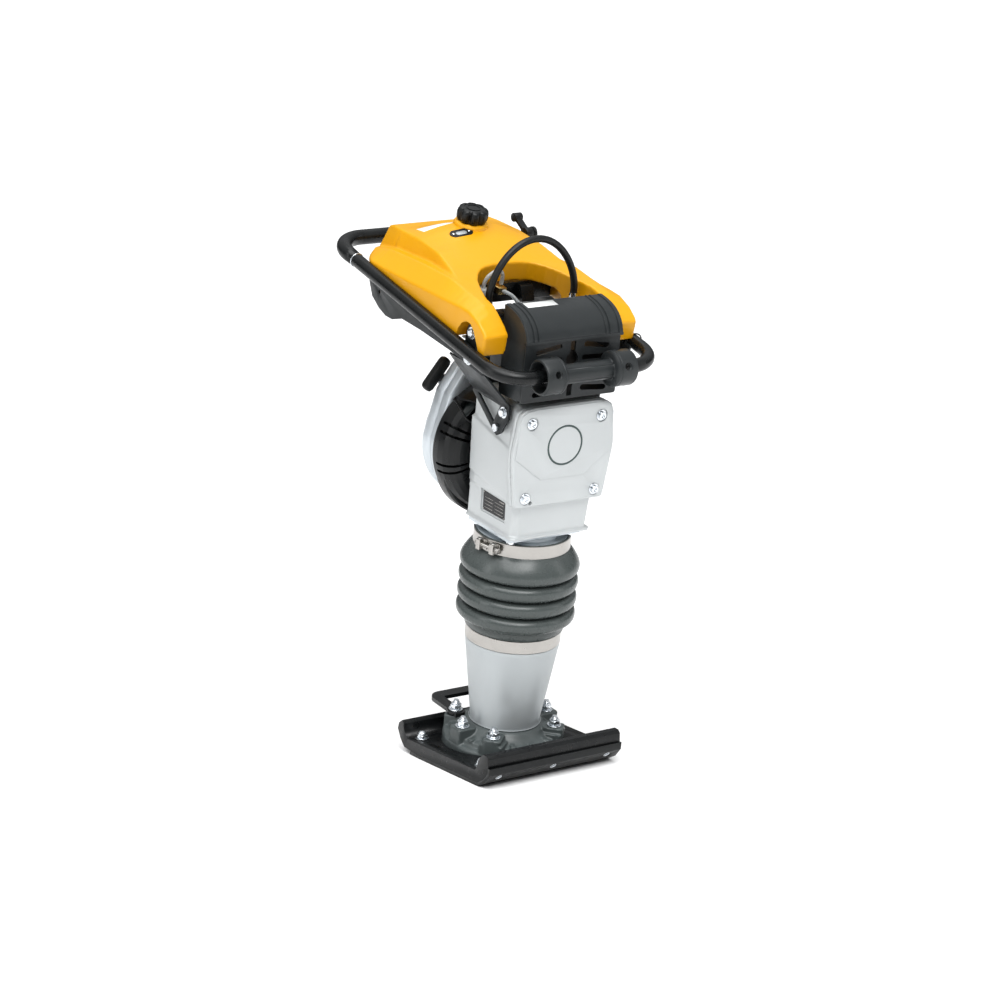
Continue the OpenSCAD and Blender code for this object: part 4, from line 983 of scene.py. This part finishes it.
RIDGE = [(150, 70), (193, 73), (262, 77.5), (317, 89), (360, 97.5), (386, 100), (400, 97), (430, 82),
         (450, 70), (470, 66.4), (480, 62.4), (486, 58), (490, 50)]


def skirt_section(s):
    inner, outer = track(NOTCH, s), track(OUTER, s)
    wall, top, low = track(WALL, s), track(SKIRT, s), track(LIFT, s)
    crease = max(min(128, outer - 6), inner + 4)
    edge = max(min(104, outer - 14), inner + 2)
    wall, top = max(wall, RIM_LOW + 3), max(top, TANK_LOW + 3)
    return [(inner, s, low), (edge - 1, s, low), (edge, s, RIM_LOW), (outer, s, RIM_LOW), (outer, s, wall),
            (crease, s, top), (inner, s, top)]


def dome_section(s):
    inner = track(NOTCH, s)
    x, crest, ridge = track(CREST_X, s), track(CREST, s), track(RIDGE, s)
    foot_x = min(131, x + 14)
    inner = min(inner, x - 8)
    low = max(track(LIFT, s), 30)
    pts = [(inner, s, low), (foot_x, s, low if s < 440 else 18), (x, s, crest)]
    for k in range(1, 7):
        u = k / 6
        part = u if s > NOTCH_S else min(1, (x - inner) * u / x)
        pts.append((x + (inner - x) * u, s, crest + (ridge - crest) * math.sin(part * math.pi / 2)))
    return pts


skirt_s = [78, 84, 92, 104, 118, 134, 150, 160, 176, 192, 208, 224, 234, 244, 250, 256, 260, 262, 264, 265,
           266, 286, 317, 335, 346, 381, 400, 430, 440, 446, 452, 458, 464, 470, 476, 481, 486]
dome_s = [156, 170, 182, 193, 208, 224, 234, 244, 250, 256, 260, 262, 264, 265, 266, 286, 300, 317, 340, 360,
          381, 400, 418, 430, 440, 450, 460, 470, 476, 481, 486, 490]
tank = Shape()
for stations, section in ((skirt_s, skirt_section), (dome_s, dome_section)):
    half = Shape().loft([section(s) for s in stations])
    tank.add(half).add(half, Matrix.Scale(-1, 4, (1, 0, 0)))
tank_obj = solid("tank_shell", tank, RAILS)
cast(tank_obj, 2.3, 4, 0.5)
CAP_S, CAP_N, GAUGE_X, GAUGE_S = 386, 104, -35, 361
ARCH = [(160, 0), (160, 8), (158, 22), (150, 36), (138, 44), (126, 45), (114, 38), (104, 26), (90, 8),
        (90, 0)]
cuts = Shape()
for s in (-1, 1):
    cuts.prism("x", fillet(ARCH, 5, 3), s * 135, s * 166)
GAUGE_M = put(GAUGE_X, GAUGE_S, 89.6, (11, -7.8, 0))
cuts.add(Shape().prism("z", slot(44.6, 19.6, 0, 0, 0, 10), -1, 30), GAUGE_M)
combine(tank_obj, cuts, RAILS)
finish(tank_obj, "handle", "tank_yellow", ["fuel_tank"], sharp=48)
neck_ring = Shape().turned("z", [(0, 84), (31, 84), (31, 98), (29, 101.6), (26, 103), (25, CAP_N - 0.2),
                                 (0, CAP_N - 0.2)], (0, CAP_S), 64)
piece("tank_neck", neck_ring, RAILS, "handle", "tank_yellow", edge=0.6, seg=2)


def lobed(r, z, depth, n=96):
    """Ring of eight broad lobes with narrow valleys."""
    radii = [(a, r - depth * abs(math.cos(4 * a)) ** 6) for a in around(n)]
    return [(rad * math.cos(a), rad * math.sin(a), z) for a, rad in radii]


cap = Shape()
cap.loft([lobed(*row) for row in (
    (22.5, 0, 1), (25.6, 1.5, 3), (27.4, 4, 5), (28.0, 9, 6), (27.8, 16, 6), (26.6, 20.6, 5), (23.4, 23.4, 2.6),
    (19, 24.4, 0.3), (17.4, 24.4, 0), (17, 23.4, 0), (2, 23.8, 0))])
cap.turned("z", [(11, 23.2), (13, 23.2), (13, 24.4), (11, 24.4)], n=64)
piece("filler_cap", cap, RAILS @ put(0, CAP_S, CAP_N + 0.3), "cap", "black_plastic", ["fuel_cap"], sharp=50)

gauge = Shape().plate("z", slot(44, 19, 0, 0, 0, 10), 0, 6.4, [slot(22, 11, 0, 0, 0, 10)])
gauge.prism("z", slot(30, 15, 0, 0, 0, 10), 0, 3)
for k in range(3):
    gauge.prism("z", slot(9, 1.2, -5 + 5 * k, 0, 62, 3), 2.8, 4.2)
gauge_m = RAILS @ GAUGE_M
piece("gauge_frame", gauge, gauge_m, "handle", "black_plastic", ["level_gauge"], edge=0.4, seg=2)
screws = Shape()
for s in (-1, 1):
    screws.turned("z", [(0, 6), (2.6, 6), (2.4, 7.2), (1.2, 7.8), (0, 7.8)], (s * 15.4, 0), 24)
piece("gauge_screws", screws, gauge_m, "handle", "zinc", ["level_gauge"], sharp=50)
piece("gauge_window", Shape().prism("z", slot(21.6, 10.6, 0, 0, 0, 10), 4.6, 5.6), gauge_m, "handle",
      "clear_plastic", ["level_gauge"])



def dome_top(x, s):
    """Height of the dome over a point of its plan."""
    edge = track(CREST_X, s)
    crest = track(CREST, s)
    return crest + (track(RIDGE, s) - crest) * math.sin((edge - abs(x)) / edge * math.pi / 2)


rows = []
for s in (402, 408, 414, 420, 426):
    top = [(x, s, dome_top(x, s) + 0.3) for x in range(-84, -23, 6)]
    rows.append(top + [(x, s, h - 1.2) for x, s, h in top[::-1]])
blank_label("tank_label_blank", Shape().loft(rows), RAILS, "handle")

tray = fillet([(262, 6), (332, 6), (332, 9), (265, 9), (265, 40), (262, 40)], 1.2, 3)
tray = Shape().prism("x", tray, -104, 104)
for x in (-60, 30):
    tray.prism("x", fillet([(238, 12), (263, 8), (263, 38), (252, 38)], 3), x, x + 26)
piece("tank_tray", tray, RAILS, "handle", "black_paint", edge=0.6, seg=2, angle=35)

# ---------------- throttle cable along the right rail
CABLE_X, CABLE_R = 175.5, 2.4
cable = spline([Vector((CABLE_X, s, 0)) for s in (60, 120, 200, 300, 380, 404)], 8)
jacket = piece("throttle_cable_jacket", Shape().sweep(cable, CABLE_R, 16), RAILS, "handle", "rubber_black",
               ["throttle_cable"])
clips = Shape()
for s in (84, 190, 290, 380):
    ring = [(RAIL_X + 1.2 + (TUBE_R + 3.2) * math.cos(a) * 1.06, s, (TUBE_R + 1.2) * math.sin(a))
            for a in around(40)]
    clips.sweep(ring, 1.2, 8, ring=True)
piece("cable_ties", clips, RAILS, "handle", "black_plastic")

# ---------------- floor, light and camera
floor_mesh = bpy.data.meshes.new("floor")
REACH = 60.0
corners = [(-REACH, -REACH, 0), (REACH, -REACH, 0), (REACH, REACH, 0), (-REACH, REACH, 0)]
floor_mesh.from_pydata(corners, [], [(0, 1, 2, 3)])
floor = bpy.data.objects.new("floor", floor_mesh)
bpy.context.scene.collection.objects.link(floor)
floor_mesh.materials.append(material("floor_white", (0.94, 0.94, 0.94), 0.75, grain=(200, 0.0),
                                     blotch=(2, 0.0), rough_var=0.01))

world = bpy.data.worlds.new("studio")
bpy.context.scene.world = world
world.use_nodes = True
nodes, links = world.node_tree.nodes, world.node_tree.links
sky = nodes.new("ShaderNodeTexCoord")
split = nodes.new("ShaderNodeSeparateXYZ")
rise = nodes.new("ShaderNodeMapRange")
rise.interpolation_type = "SMOOTHSTEP"
rise.inputs["From Min"].default_value = 0.02
rise.inputs["From Max"].default_value = 0.75
rise.inputs["To Min"].default_value = 0.10
rise.inputs["To Max"].default_value = 0.62
links.new(sky.outputs["Generated"], split.inputs["Vector"])
links.new(split.outputs["Z"], rise.inputs["Value"])
links.new(rise.outputs["Result"], nodes["Background"].inputs["Strength"])
nodes["Background"].inputs["Color"].default_value = (0.98, 0.99, 1.0, 1)


def lamp(name, place, target, size, watts):
    data = bpy.data.lights.new(name, "AREA")
    data.shape = "RECTANGLE"
    data.size, data.size_y = size
    data.energy = watts
    obj = bpy.data.objects.new(name, data)
    obj.location = place
    obj.rotation_euler = (Vector(target) - Vector(place)).to_track_quat("-Z", "Y").to_euler()
    bpy.context.scene.collection.objects.link(obj)


CENTRE = (0, 0, 0.5)
lamp("key", (-0.6, -3.0, 3.4), CENTRE, (1.6, 1.6), 27)
lamp("left", (-3.2, 0.2, 1.6), CENTRE, (0.8, 2.4), 14)
lamp("right", (2.6, -2.0, 1.5), CENTRE, (0.8, 2.2), 8)
lamp("top", (0.2, 0.6, 3.2), CENTRE, (1.6, 1.6), 10)

# broad overhead softbox, the same over the whole floor
sun = bpy.data.lights.new("softbox", "SUN")
sun.energy, sun.angle = 2.35, math.radians(55)
sun_obj = bpy.data.objects.new("softbox", sun)
sun_obj.rotation_euler = Vector((0.30, 0.42, -0.86)).to_track_quat("-Z", "Y").to_euler()
bpy.context.scene.collection.objects.link(sun_obj)

cam = bpy.data.cameras.new("camera")
cam.lens, cam.sensor_width, cam.clip_end = 107.6, 36.0, 300.0
camera = bpy.data.objects.new("camera", cam)
YAW, PITCH = math.radians(-34.29), math.radians(12.85)
look = Vector((-math.sin(YAW) * math.cos(PITCH), math.cos(YAW) * math.cos(PITCH), -math.sin(PITCH)))
camera.location = (-2.874, -4.173, 1.626)
camera.rotation_euler = look.to_track_quat("-Z", "Y").to_euler()
bpy.context.scene.collection.objects.link(camera)
bpy.context.scene.camera = camera
bpy.context.scene.view_settings.view_transform = "Standard"
bpy.context.scene.view_settings.look = "Medium High Contrast"
